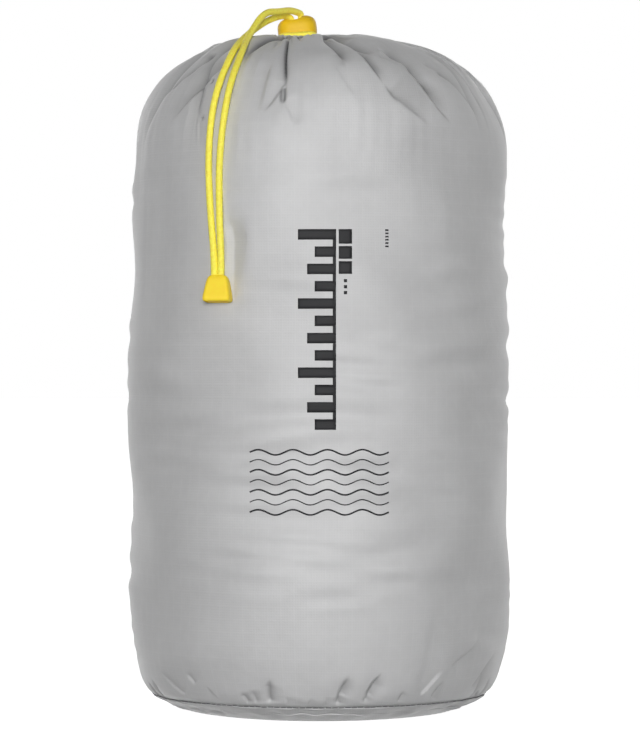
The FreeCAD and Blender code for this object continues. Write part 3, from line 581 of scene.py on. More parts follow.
# ---- short sharp gathers close to the mouth, all the way round
g = np.random.default_rng(19)
angle = 32.0
while angle < 326.0:
    m0, ln = g.uniform(0.2, 2.5), g.uniform(7, 24)
    lean = g.uniform(-16, 16)
    k = g.uniform(0.5, 1.0)
    pts = [at_angle(angle + lean * f, m0 + ln * f) for f in np.linspace(0, 1, 5)]
    # dark paints shade into the cloth's colour along each gather
    crease(pts, depth=0.9 * k, width=0.42, side=g.choice([-1, 1]) * 0.45 * k, side_reach=3,
           dark=0.45 * k, dark_reach=1.2, fade=(0.05, 0.5))
    angle += g.uniform(5.0, 11.0)

# ---- folds of the sides and back, running out from the mouth
g = np.random.default_rng(77)
angle = 58.0
while angle < 318.0:
    long = g.uniform(40, 88)
    drift = g.uniform(-13, 13)
    m0 = g.uniform(1, 9)
    strength = g.uniform(0.6, 1.25)
    sgn = g.choice([-1, 1])
    pts = [at_angle(angle + drift * f + g.normal(0, 0.9), m0 + (long - m0) * f) for f in np.linspace(0, 1, 6)]
    crease(pts, depth=1.5 * strength, width=g.uniform(0.5, 1.0), side=sgn * 1.15 * strength,
           side_reach=g.uniform(5, 8), valley=1.1 * strength, valley_width=g.uniform(3, 5.5), fade=(0.06, 0.55))
    if g.random() < 0.6:
        f0 = g.uniform(0.25, 0.5)
        start, turn = angle + drift * f0, g.choice([-1, 1]) * g.uniform(7, 14)
        l2 = long * g.uniform(0.35, 0.6)
        pts = [at_angle(start + turn * f, m0 + (long - m0) * f0 + l2 * f) for f in np.linspace(0, 1, 5)]
        crease(pts, depth=0.7 * strength, width=g.uniform(0.6, 1.0), side=-sgn * 0.7 * strength,
               side_reach=6, valley=0.5 * strength, valley_width=4.5, fade=(0.05, 0.6))
    angle += g.uniform(8.0, 15.0)

# ---- puckers along the base seam
PUCKERS = {
    "b1": [(-17.4, 11.2), (-18.9, 8.2), (-18.9, 4.9), (-17.8, 1.6)],
    "b2": [(-25.5, 6.8), (-24.1, 4.2), (-22.9, 1.6)],
    "b3": [(-29.2, 6.0), (-27.4, 3.8), (-25.9, 1.6)],
    "b4": [(-42.9, 9.0), (-40.3, 6.0), (-37.0, 2.7)],
    "b5": [(-12.2, 4.2), (-11.5, 1.2)],
    "b6": [(10.4, 12.3), (9.2, 8.2), (7.4, 4.5), (6.3, 0.8)],
    "b7": [(11.5, 12.7), (10.0, 9.0), (8.1, 4.2)],
    "b8": [(24.1, 13.8), (21.8, 10.5), (19.2, 6.0), (16.3, 1.6)],
    "b9": [(22.6, 11.9), (20.0, 8.2), (17.4, 4.2)],
    "b10": [(47.0, 10.5), (44.8, 7.5), (41.4, 3.8)],
    "b11": [(48.5, 16.4), (44.8, 12.7), (41.1, 8.6), (37.0, 4.2)],
    "b12": [(61.8, 26.7), (55.1, 19.7), (49.2, 14.9)],
    "b13": [(66.2, 22.3), (61.8, 14.9), (55.9, 6.8)],
    "b14": [(-2.6, 3.8), (-3.7, 1.2)],
    "b15": [(3.0, 4.5), (2.2, 0.8)],
    "b16": [(-58.8, 14.9), (-54.4, 9.7), (-48.5, 4.2)],
    "b17": [(-49.2, 13.4), (-45.5, 9.0)],
    "b18": [(31.8, 6.8), (29.2, 2.3)],
}
SHARP = {"b5": 0.14, "b14": 0.12, "b15": 0.14, "b1": 1.2, "b6": 1.1, "b8": 1.1, "b10": 0.9, "b4": -0.7, "b11": -0.5, "b3": 0.8, "b9": 0.7}
for name, pts in PUCKERS.items():
    k = SHARP.get(name, 0.55)
    front(pts, depth=max(k, 0.1) * 0.9, width=0.7, side=(0.5 if k > 0 else -0.9) * 0.6,
          side_reach=4.6, valley=0.55 * abs(k), valley_width=3.8, fade=(0.45, 0.14))
angle = 62.0
while angle < 300.0:
    s0, ln = 0.5, g.uniform(5, 15)
    lean = g.uniform(-5, 5)
    k = g.uniform(0.35, 1.15)
    pts = [at_angle(angle + lean * f, crest - (s0 + ln * f)) for f in np.linspace(1, 0, 5)]
    crease(pts, depth=0.9 * k, width=g.uniform(0.5, 0.9), side=g.choice([-1, 1]) * 0.4 * k,
           side_reach=4.4, valley=0.55 * k, valley_width=3.6, fade=(0.45, 0.12))
    angle += g.uniform(3.5, 10)

# a few longer, shallow drag lines on the wall
for deg, m0, m1, turn, k in ((38, 236, 305, -9, 0.5), (48, 250, 300, -12, 0.6), (60, 235, 300, -8, 0.55),
                             (-52, 250, 300, 9, 0.45), (-66, 70, 150, 3, 0.35), (-58, 66, 130, -3, 0.3),
                             (52, 76, 120, 5, 0.35), (40, 80, 118, 8, 0.3), (150, 230, 300, 8, 0.5),
                             (205, 240, 305, -9, 0.5), (110, 80, 150, 5, 0.4), (250, 75, 140, -5, 0.4)):
    pts = [at_angle(deg + turn * f, m0 + (m1 - m0) * f) for f in np.linspace(0, 1, 6)]
    crease(pts, depth=0.0, width=4.5, side=k, side_reach=9, valley=0.5 * k, valley_width=5, fade=(0.3, 0.4))

H = height.reshape(ROWS, COLS)
lo_clip, hi_clip = -4.5, 2.4
H = np.where(H > 0, hi_clip * np.tanh(H / hi_clip), lo_clip * np.tanh(H / lo_clip))
H *= sstep(srow, 0.1, 3.0) * 0.84 + 0.16
H *= sstep(-mrow, -400, -399) * 1.0
H = H * (1 - sstep(-mrow, 8.5, 11.0))


def place(h):
    return base_pts + base_nrm * h[..., None]


# ---- the skin stays under the cords and the cord end that lie on it
def keep_clear(pts, line, radius, gap):
    tree = KDTree(len(line))
    for i, q in enumerate(line):
        tree.insert(q, i)
    tree.balance()
    flat = pts.reshape(-1, 3)
    lo, hi = line.min(0) - radius - 6, line.max(0) + radius + 6
    idx = np.where(((flat > lo) & (flat < hi)).all(1) & (mrow.reshape(-1) > 4))[0]
    push = np.zeros(len(flat))
    for i in idx:
        q, j, d = tree.find(flat[i])
        if d < radius + gap + 1.5:
            out = (np.array(q) - flat[i]) @ nrm_flat[i]
            side2 = max(d * d - out * out, 0.0)
            need = math.sqrt(max((radius + gap) ** 2 - side2, 0.0)) if side2 < (radius + gap) ** 2 else 0.0
            if side2 < (radius + gap) ** 2 and out < need:
                push[i] = out - need
    return push.reshape(ROWS, COLS)


for line in (line_right, line_left):
    mm_line, _ = resample(line / MM, 0.6)
    H = H + keep_clear(place(H), mm_line, CORD / 2, 0.12)


# ---- and leaves room for the cord end, all the way up the lock's slide
def clear_travel(pts, travel, gap):
    z_at, a_at, b_at = np.array([
        (-9.45, 4.65, 2.8), (-8.4, 5.0, 3.1), (-7.6, 4.95, 3.06), (-5.0, 4.5, 2.72), (-2.6, 4.05, 2.42), (0.0, 2.5, 1.45)]).T
    push = np.zeros(pts.shape[:2])
    inward = -(base_nrm @ END_ROT)[..., 1]
    for up in np.linspace(0, travel, 31):
        q = (pts - (END_AT + np.array([0, 0, up]))) @ END_ROT
        off = np.maximum(np.abs(q[..., 0]) - np.interp(q[..., 2], z_at, a_at), 0)
        off = off + np.maximum(q[..., 2], 0) + np.maximum(-9.45 - q[..., 2], 0)
        limit = np.interp(q[..., 2], z_at, b_at) + gap - 0.42 * off - 0.010 * off * off
        near = (inward > 0.3) & (off < 9) & (np.abs(q[..., 1]) < 12)
        push = np.maximum(push, np.where(near, (limit - q[..., 1]) / np.maximum(inward, 0.3), 0))
    # rounded off at its rim, never shallower than the room that is needed
    soft_push = push.copy()
    for _ in range(20):
        soft_push = 0.5 * soft_push + 0.25 * (np.roll(soft_push, 1, 1) + np.roll(soft_push, -1, 1))
        soft_push[1:-1] = 0.5 * soft_push[1:-1] + 0.25 * (soft_push[:-2] + soft_push[2:])
    return -np.minimum(np.maximum(push, soft_push), 3.0)


H = H + clear_travel(place(H), 20.0, 0.35)
soft = H.copy()

skin = place(H)
# closing rings: inside the base, and inside the mouth
inner_low = []
for f in (0.97, 0.6, 0.25):
    ring = skin[0] * np.array([f, f, 1.0]) + np.array([0, 0, 0.4])
    inner_low.append(ring)
inner_top = []
for f in (0.75, 0.5, 0.25):
    c = np.array([-8.0, 0, 0])
    ring = (skin[-1] - c) * np.array([f, f, 1.0]) + c - np.array([0, 0, 0.6 * (1 - f)])
    inner_top.append(ring)
all_rows = np.concatenate([np.stack(inner_low[::-1]), skin, np.stack(inner_top)])
n_rows = len(all_rows)
verts = np.concatenate([all_rows.reshape(-1, 3), [[0, 0, 6.5]], [[-8.0, 0, 240.2]]]) * MM
faces = grid_faces(n_rows, COLS).tolist()
low_c, top_c = n_rows * COLS, n_rows * COLS + 1
faces += [(low_c, (i + 1) % COLS, i) for i in range(COLS)]
lr = (n_rows - 1) * COLS
faces += [(top_c, lr + i, lr + (i + 1) % COLS) for i in range(COLS)]
sack = new_mesh("sack_skin", verts, faces)
# uv in millimetres of cloth: round the girth, and along the outline
uv = sack.data.uv_layers.new(name="cloth")
row_s = np.concatenate([[-30, -15, -2], S, [S[-1] + 2, S[-1] + 4, S[-1] + 6]])
loops = np.zeros(len(sack.data.loops), int)
sack.data.loops.foreach_get("vertex_index", loops)
starts = np.zeros(len(sack.data.polygons), int)
sack.data.polygons.foreach_get("loop_start", starts)
poly_of = np.repeat(np.arange(len(starts)), np.diff(np.r_[starts, len(loops)]))
col_i = np.where(loops < n_rows * COLS, loops % COLS, 0)
row_i = np.where(loops < n_rows * COLS, loops // COLS, 0)
u_col = np.where((col_i == 0) & (np.maximum.reduceat(col_i, starts)[poly_of] == COLS - 1), COLS, col_i)
uvs = np.stack([u_col / COLS * 434.0 * MM * 10, row_s[np.clip(row_i, 0, n_rows - 1)] * MM * 10], -1)
uv.data.foreach_set("uv", uvs.reshape(-1).astype(np.float32))
# the creases' painted shade, stored on the skin's points as the fold attribute
shade_at = sack.data.attributes.new("fold", "FLOAT", "POINT")
fold_shade_all = np.zeros(len(verts))
fold_shade_all[3 * COLS:(3 + ROWS) * COLS] = fold
shade_at.data.foreach_set("value", fold_shade_all.astype(np.float32))
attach(sack, "root")
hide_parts("sack_body", "stuffed_contents", "side_seam_tape", "base_seam_binding", "drawcord_channel")


# ---- the finished skin, to lay the print on
tree_skin = BVHTree.FromPolygons([tuple(v) for v in verts], [tuple(f) for f in faces])
EYE_M = Vector(EYE * MM)


def on_skin(x, z, lift):
    """The finished skin's point that shows at x, z in the front elevation, raised off it."""
    d = Vector((x * MM, 0, z * MM)) - EYE_M
    hit, normal, _, _ = tree_skin.ray_cast(EYE_M, d.normalized(), 3.0)
    if normal.dot(d) > 0:
        normal = -normal
    return np.array(hit) + np.array(normal) * lift * MM


# =============================================================== base panel
BASE = chaikin(np.array([
    (58.6, 5.9), (60.2, 6.25), (61.0, 6.2), (61.25, 5.85), (60.7, 5.35), (58.9, 4.35),
    (56.0, 3.05), (53.0, 1.75), (50.4, 0.8), (48.2, 0.2), (46.0, 0.0), (40.0, 0.0),
    (26.0, 0.0), (12.0, 0.0), (1.2, 0.0),
]), 2)
bs = np.r_[0, np.cumsum(np.linalg.norm(np.diff(BASE, axis=0), axis=1))]
edge = np.concatenate([np.arange(0, 16, 0.45), np.arange(16, bs[-1], 2.5)])
br, bz = np.interp(edge, bs, BASE[:, 0]), np.interp(edge, bs, BASE[:, 1])
bn = smooth_noise(41, 24, 5, 40, 12, 40)
bt, be = np.meshgrid(TH, edge)
press = 0.34 * bn(bt, be) * sstep(be, 0.8, 3.5) * (1 - sstep(be, 9, 15))
waves = np.abs(np.sin(bt * 23 + 1.5 * np.sin(bt * 5) + 0.6 * be / 4)) ** 0.6
press += -0.32 * (1 - waves) * sstep(be, 0.8, 2.4) * (1 - sstep(be, 3.5, 8))
flat_edge = 1 + 0.012 * np.sin(2 * bt + 0.7) + 0.008 * np.sin(5 * bt + 2.0)
rr = br[:, None] * np.where(be > 8, 1 + (flat_edge - 1) * (1 - sstep(be, 14, 30)), 1.0) + press
zz = np.maximum(bz[:, None] - 0.5 * press * sstep(be, 4, 8), 0.0)
bp = np.stack([rr * np.sin(bt), -rr * np.cos(bt), zz], -1)
top_rings = []
for r, z in ((57.0, 5.3), (54.0, 4.2), (48.0, 2.2), (25.0, 1.2)):
    top_rings.append(np.stack([r * np.sin(TH), -r * np.cos(TH), np.full(COLS, z)], -1))
rows_b = np.concatenate([np.stack(top_rings[::-1]), bp])
nb = len(rows_b)
bverts = np.concatenate([rows_b.reshape(-1, 3), [[0, 0, 1.2]], [[0, 0, 0]]]) * MM
bfaces = [tuple(f[::-1]) for f in grid_faces(nb, COLS).tolist()]
bfaces += [(nb * COLS, i, (i + 1) % COLS) for i in range(COLS)]
lr = (nb - 1) * COLS
bfaces += [(nb * COLS + 1, lr + (i + 1) % COLS, lr + i) for i in range(COLS)]
base_ob = new_mesh("base_fabric", bverts, bfaces)
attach(base_ob, "root")
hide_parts("base_panel")


# stitches in the seam's groove
def capsule(a, b, r, n=8):
    a, b = np.array(a, float), np.array(b, float)
    t = (b - a) / np.linalg.norm(b - a)
    u = np.cross(t, [0, 0, 1.0])
    u /= np.linalg.norm(u)
    w = np.cross(t, u)
    rows = [(-0.8, 0.5), (-0.3, 0.9), (0.3, 1.0)]
    prof2 = [(a + t * r * k, r * q) for k, q in rows] + [(b - t * r * k, r * q) for k, q in rows[::-1]]
    ang = np.linspace(0, 2 * math.pi, n, endpoint=False)
    v = [a - t * r]
    for c, q in prof2:
        v += [c + q * (math.cos(x) * u + math.sin(x) * w) for x in ang]
    v.append(b + t * r)
    f = grid_faces(len(prof2), n, True, 1).tolist()
    last = 1 + (len(prof2) - 1) * n
    f += [(0, 1 + (i + 1) % n, 1 + i) for i in range(n)]
    f += [(len(v) - 1, last + i, last + (i + 1) % n) for i in range(n)]
    return v, f


def many(name, parts):
    v, f, base = [], [], 0
    for a, b in parts:
        v += list(a)
        f += [tuple(int(i) + base for i in q) for q in b]
        base += len(a)
    return new_mesh(name, np.array(v), f)


g = np.random.default_rng(5)
st = []
count = 168
for i in range(count):
    a0 = 2 * math.pi * (i + 0.06 + g.normal(0, 0.02)) / count
    a1 = a0 + 2 * math.pi / count * 0.78
    r0, z0 = 61.55, 6.28
    dz = g.normal(0, 0.05)
    p = [((r0 + dr) * math.sin(a), -(r0 + dr) * math.cos(a), z0 + dz) for a, dr in ((a0, 0), ((a0 + a1) / 2, 0.05), (a1, 0))]
    st.append(capsule(np.array(p[0]) * MM, np.array(p[2]) * MM, 0.14 * MM))
stitches = many("seam_stitches", st)
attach(stitches, "root")
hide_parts("base_seam_thread")


# ============================================================ moulded parts
def baked(ob):
    dg = bpy.context.evaluated_depsgraph_get()
    me = bpy.data.meshes.new_from_object(ob.evaluated_get(dg))
    ob.modifiers.clear()
    old = ob.data
    ob.data = me
    bpy.data.meshes.remove(old)
    me.polygons.foreach_set("use_smooth", [True] * len(me.polygons))
    return ob


def boolean(ob, tool, op):
    m = ob.modifiers.new("cut", "BOOLEAN")
    m.operation, m.object, m.solver = op, tool, "EXACT"
    baked(ob)
    bpy.data.objects.remove(tool)


def moulded(ob, voxel, rounds, factor=0.5):
    """Rounds all edges a little, as moulded plastic is."""
    m = ob.modifiers.new("remesh", "REMESH")
    m.mode, m.voxel_size, m.adaptivity = "VOXEL", voxel * MM, 0.0
    m.use_smooth_shade = True
    s = ob.modifiers.new("soften", "SMOOTH")
    s.factor, s.iterations = factor, rounds
    return baked(ob)


def super_block(name, centre, half, e1, e2, n1=72, n2=112, taper=None):
    v = []
    lat = np.linspace(-math.pi / 2, math.pi / 2, n1)[1:-1]
    lon = np.linspace(0, 2 * math.pi, n2, endpoint=False)

    def pw(x, e):
        return math.copysign(abs(x) ** e, x)

    for a in lat:
        for b in lon:
            q = np.array([
                half[0] * pw(math.cos(a), e1) * pw(math.cos(b), e2),
                half[1] * pw(math.cos(a), e1) * pw(math.sin(b), e2),
                half[2] * pw(math.sin(a), e1),
            ])
            v.append((np.array(centre) + q) * MM)
    v.append((np.array(centre) - [0, 0, half[2]]) * MM)
    v.append((np.array(centre) + [0, 0, half[2]]) * MM)
    rows = len(lat)
    f = grid_faces(rows, n2).tolist()
    f += [(rows * n2, (i + 1) % n2, i) for i in range(n2)]
    lr = (rows - 1) * n2
    f += [(rows * n2 + 1, lr + i, lr + (i + 1) % n2) for i in range(n2)]
    return new_mesh(name, v, f)


def turned(name, profile, centre=(0, 0, 0), n=40):
    """A closed solid turned about Z: profile is (r, z), from low to high."""
    v = [(centre[0], centre[1], centre[2] + profile[0][1])]
    for r, z in profile:
        v += [(centre[0] + r * math.cos(a), centre[1] + r * math.sin(a), centre[2] + z)
              for a in np.linspace(0, 2 * math.pi, n, endpoint=False)]
    v.append((centre[0], centre[1], centre[2] + profile[-1][1]))
    f = grid_faces(len(profile), n, True, 1).tolist()
    last = 1 + (len(profile) - 1) * n
    f += [(0, 1 + (i + 1) % n, 1 + i) for i in range(n)]
    f += [(len(v) - 1, last + i, last + (i + 1) % n) for i in range(n)]
    return new_mesh(name, np.array(v) * MM, f)


def rounded_loft(name, sections, per=10):
    """Sections are (z, half width, half depth, corner radius), from low to high."""
    v = []
    ring = 4 * per
    for z, hw, hd, r in sections:
        for k, (sx, sy, a0) in enumerate(((1, 1, 0), (-1, 1, 90), (-1, -1, 180), (1, -1, 270))):
            for j in range(per):
                a = math.radians(a0 + 90 * j / (per - 1))
                v.append(((sx * (hw - r) + r * math.cos(a)), (sy * (hd - r) + r * math.sin(a)), z))
    v.append((0, 0, sections[0][0]))
    v.append((0, 0, sections[-1][0]))
    rows = len(sections)
    f = grid_faces(rows, ring).tolist()
    f += [(rows * ring, (i + 1) % ring, i) for i in range(ring)]
    lr = (rows - 1) * ring
    f += [(rows * ring + 1, lr + i, lr + (i + 1) % ring) for i in range(ring)]
    return new_mesh(name, np.array(v) * MM, f)


def box_tool(name, lo, hi):
    v = [(x, y, z) for z in (lo[2], hi[2]) for y in (lo[1], hi[1]) for x in (lo[0], hi[0])]
    f = [(0, 2, 3, 1), (4, 5, 7, 6), (0, 1, 5, 4), (2, 6, 7, 3), (0, 4, 6, 2), (1, 3, 7, 5)]
    return new_mesh(name, np.array(v, float) * MM, f, smooth=False)


LOCK_M = Matrix.Translation(Vector(LOCK * MM)) @ Matrix.Rotation(-TILT, 4, "Y")
END_M = Matrix.Translation(Vector(END_AT * MM)) @ Matrix([[*r] for r in END_ROT]).to_4x4()

# cord lock: a plump bun with two flared holes, and a pocket at the back
lock = super_block("cord_lock_bun", (0, -1.4, 0), (7.25, 6.0, 4.85), 0.66, 0.72)
for side in (1, -1):
    zs = np.linspace(1.6, 6.0, 14)
    hole = [(1.32, -6.2), (1.32, 1.6)] + [(1.32 + 1.75 * ((z - 1.6) / 3.3) ** 2.2, z) for z in zs[1:]]
    boolean(lock, turned("hole", hole, (side * 1.85, 0, 0)), "DIFFERENCE")
    low = [(1.32 + 1.5 * ((z - 1.6) / 3.3) ** 2.2, -z) for z in zs[::-1]] + [(1.32, -1.0)]
    boolean(lock, turned("hole", low, (side * 1.85, 0, 0)), "DIFFERENCE")
boolean(lock, box_tool("pocket", (-4.9, -4.85, -2.4), (4.9, 6.0, 2.4)), "DIFFERENCE")
boolean(lock, box_tool("bore", (-2.05, -6.1, -2.05), (2.05, -4.7, 2.05)), "DIFFERENCE")
boolean(lock, super_block("saddle", (-0.8, -2.2, 6.1), (3.7, 9.0, 2.9), 1.0, 0.6, 48, 96), "DIFFERENCE")
for v in lock.data.vertices:
    v.co.z += 0.06 * v.co.x * min(max(v.co.z / (4.8 * MM), 0.0), 1.0)
moulded(lock, 0.16, 5)
lock.data.transform(LOCK_M)
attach(lock, "cord_lock")
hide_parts("cord_lock_body")

button = super_block("cord_lock_push", (0, 8.7, 0), (5.6, 1.3, 3.3), 0.55, 0.5, 48, 96)
stem = box_tool("stem", (-4.65, -2.2, -2.15), (4.65, 8.4, 2.15))
boolean(stem, box_tool("slot", (-3.2, -1.3, -4), (3.2, 3.8, 4)), "DIFFERENCE")
boolean(button, stem, "UNION")
for k in (-1.4, 0.0, 1.4):
    boolean(button, super_block("rib", (0, 10.05, k), (3.6, 0.22, 0.34), 0.8, 0.8, 16, 32), "DIFFERENCE")
moulded(button, 0.14, 3)
button.data.transform(LOCK_M)
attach(button, "lock_button")
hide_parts("cord_lock_button")

# return spring: three turns, pressed flatter by the button's stroke
TURNS, COIL_R, WIRE = 3.0, 1.7, 0.13
n_coil, n_wire = 145, 10
ring_at = np.linspace(0, 2 * math.pi, n_wire, endpoint=False)
v = []
for f in np.linspace(0, 1, n_coil):
    a = 2 * math.pi * TURNS * f
    out = np.array([math.cos(a), 0, math.sin(a)])
    along = np.array([-math.sin(a) * COIL_R * 2 * math.pi * TURNS, -3.02, math.cos(a) * COIL_R * 2 * math.pi * TURNS])
    across = np.cross(along / np.linalg.norm(along), out)
    mid_c = out * COIL_R + np.array([0, -2.89 - 3.02 * f, 0])
    if f == 0:
        first_c = mid_c
    v += [mid_c + WIRE * (math.cos(b) * out + math.sin(b) * across) for b in ring_at]
v += [first_c, mid_c]
last = (n_coil - 1) * n_wire
f = grid_faces(n_coil, n_wire).tolist()
f += [(n_coil * n_wire, (i + 1) % n_wire, i) for i in range(n_wire)]
f += [(n_coil * n_wire + 1, last + i, last + (i + 1) % n_wire) for i in range(n_wire)]
spring = new_mesh("return_spring", np.array(v) * MM, f)
spring.data.transform(LOCK_M)
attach(spring, "cord_lock")
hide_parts("cord_lock_spring")
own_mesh(spring)

# cord end: a flat bell with its cap pressed in from below
bell = rounded_loft("cord_end_bell", [
    (-9.45, 4.35, 2.5, 1.0), (-9.3, 4.65, 2.8, 1.15), (-8.9, 4.9, 3.02, 1.25), (-8.4, 5.0, 3.1, 1.3),
    (-7.6, 4.95, 3.06, 1.3), (-5.0, 4.5, 2.72, 1.25), (-2.6, 4.05, 2.42, 1.2), (-1.6, 3.78, 2.28, 1.15),
    (-0.9, 3.45, 2.12, 1.1), (-0.35, 3.0, 1.85, 1.0), (0.0, 2.5, 1.45, 0.85),
])
boolean(bell, rounded_loft("hollow", [(-10.5, 4.0, 2.2, 0.7), (-8.5, 3.95, 2.1, 0.7), (-1.6, 2.7, 1.35, 0.5)]), "DIFFERENCE")
boolean(bell, rounded_loft("mouth", [(-3.0, 2.5, 1.22, 1.2), (-0.5, 2.5, 1.24, 1.2), (0.6, 2.75, 1.5, 1.3)]), "DIFFERENCE")
moulded(bell, 0.13, 3)
bell.data.transform(END_M)
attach(bell, "cord_tails")
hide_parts("cord_end")
cap = rounded_loft("cord_end_plug", [
    (-9.22, 3.4, 1.6, 0.5), (-9.15, 3.7, 1.86, 0.6), (-9.0, 3.84, 1.98, 0.62), (-8.2, 3.82, 1.96, 0.6), (-8.1, 3.6, 1.8, 0.5),
])
boolean(cap, turned("gate_mark", [(0.7, -9.5), (0.7, -9.1)], n=24), "DIFFERENCE")
moulded(cap, 0.13, 2)
cap.data.transform(END_M)
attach(cap, "cord_tails")
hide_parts("cord_end_cap")

# ==================================================================== print
INK = 0.08


def slab(outline_top, outline_bottom, rows, cols):
    """A thin closed slab from a grid of raised points and the same grid laid lower."""
    n = rows * cols
    v = list(outline_top) + list(outline_bottom)
    f = grid_faces(rows, cols, False).tolist()
    f += [tuple(np.array(q[::-1]) + n) for q in f]
    rim = [(0, c) for c in range(cols)] + [(r, cols - 1) for r in range(1, rows)]
    rim += [(rows - 1, c) for c in range(cols - 2, -1, -1)] + [(r, 0) for r in range(rows - 2, 0, -1)]
    ids = [r * cols + c for r, c in rim]
    for a, b in zip(ids, ids[1:] + ids[:1]):
        f.append((b, a, a + n, b + n))
    return v, f


def printed_patch(x0, x1, z0, z1, step=1.0):
    nx, nz = max(int((x1 - x0) / step), 1) + 1, max(int((z1 - z0) / step), 1) + 1
    top, low = [], []
    for z in np.linspace(z0, z1, nz):
        for x in np.linspace(x0, x1, nx):
            top.append(on_skin(x, z, INK))
            low.append(on_skin(x, z, 0.01))
    return slab(top, low, nz, nx)


def printed_line(points, width, step=0.7):
    p, _ = resample(np.array([(x, 0.0, z) for x, z in points]), step)
    t = np.gradient(p, axis=0)
    t /= np.linalg.norm(t, axis=1)[:, None]
    side = np.stack([-t[:, 2], t[:, 0] * 0, t[:, 0]], -1)
    top, low = [], []
    for q, n in zip(p, side):
        for k in (-0.5, 0.5):
            r = q + n * width * k
            top.append(on_skin(r[0], r[2], INK))
            low.append(on_skin(r[0], r[2], 0.01))
    return slab(top, low, len(p), 2)


art = []
# a level gauge: plain bars, longer and shorter by turns
tops = np.linspace(177.3, 103.0 + 3.9, 12)
for i, z in enumerate(tops):
    left = (-7.8, -1.6, -4.4, -1.6)[i % 4]
    art.append(printed_patch(left, 6.3, z - 3.9, z))
art.append(printed_patch(5.1, 6.3, 103.0, 177.3))
# a narrow bar with two gaps beside it
for z0, z1 in ((171.9, 177.3), (166.3, 171.0), (160.7, 165.4)):
    art.append(printed_patch(7.3, 12.2, z0, z1))
for z in (157.6, 155.4, 153.2):
    art.append(printed_patch(9.2, 10.4, z, z + 1.2, 0.6))
# a short row of ticks
for z in np.linspace(170.6, 176.6, 6):
    art.append(printed_patch(24.5, 25.7, z, z + 0.6, 0.6))
# a plain band of parallel ripples
for i in range(7):
    xs = np.linspace(-25.6, 25.8, 90)
    zs = 83.6 + 3.7 * (i - 3) + 1.0 * np.sin(xs * 2 * math.pi / 12.85)
    art.append(printed_line(list(zip(xs, zs)), 0.62 if i % 2 == 0 else 0.42))
art_ob = many("printed_marks", art)
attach(art_ob, "root")

# ================================================================ materials
def material(name):
    m = bpy.data.materials.new(name)
    m.use_nodes = True
    nt = m.node_tree
    bsdf = nt.nodes["Principled BSDF"]
    return m, nt, bsdf


class Graph:
    def __init__(self, nt):
        self.nt = nt

    def node(self, kind, **props):
        n = self.nt.nodes.new(kind)
        for k, v in props.items():
            setattr(n, k, v)
        return n

    def link(self, a, b):
        self.nt.links.new(a, b)

    def math(self, op, a, b=None, c=None, clamp=False):
        n = self.node("ShaderNodeMath", operation=op, use_clamp=clamp)
        for i, x in enumerate((a, b, c)):
            if x is None:
                continue
            if isinstance(x, (int, float)):
                n.inputs[i].default_value = x
            else:
                self.link(x, n.inputs[i])
        return n.outputs[0]

    def noise(self, vec, scale, detail=2.0, rough=0.5):
        n = self.node("ShaderNodeTexNoise")
        n.inputs["Scale"].default_value = scale
        n.inputs["Detail"].default_value = detail
        n.inputs["Roughness"].default_value = rough
        self.link(vec, n.inputs["Vector"])
        return n.outputs["Fac"]

    def ramp(self, fac, stops):
        n = self.node("ShaderNodeValToRGB")
        el = n.color_ramp.elements
        while len(el) < len(stops):
            el.new(0.5)
        for e, (p, c) in zip(el, stops):
            e.position = p
            e.color = (*c, 1.0)
        self.link(fac, n.inputs[0])
        return n.outputs[0]


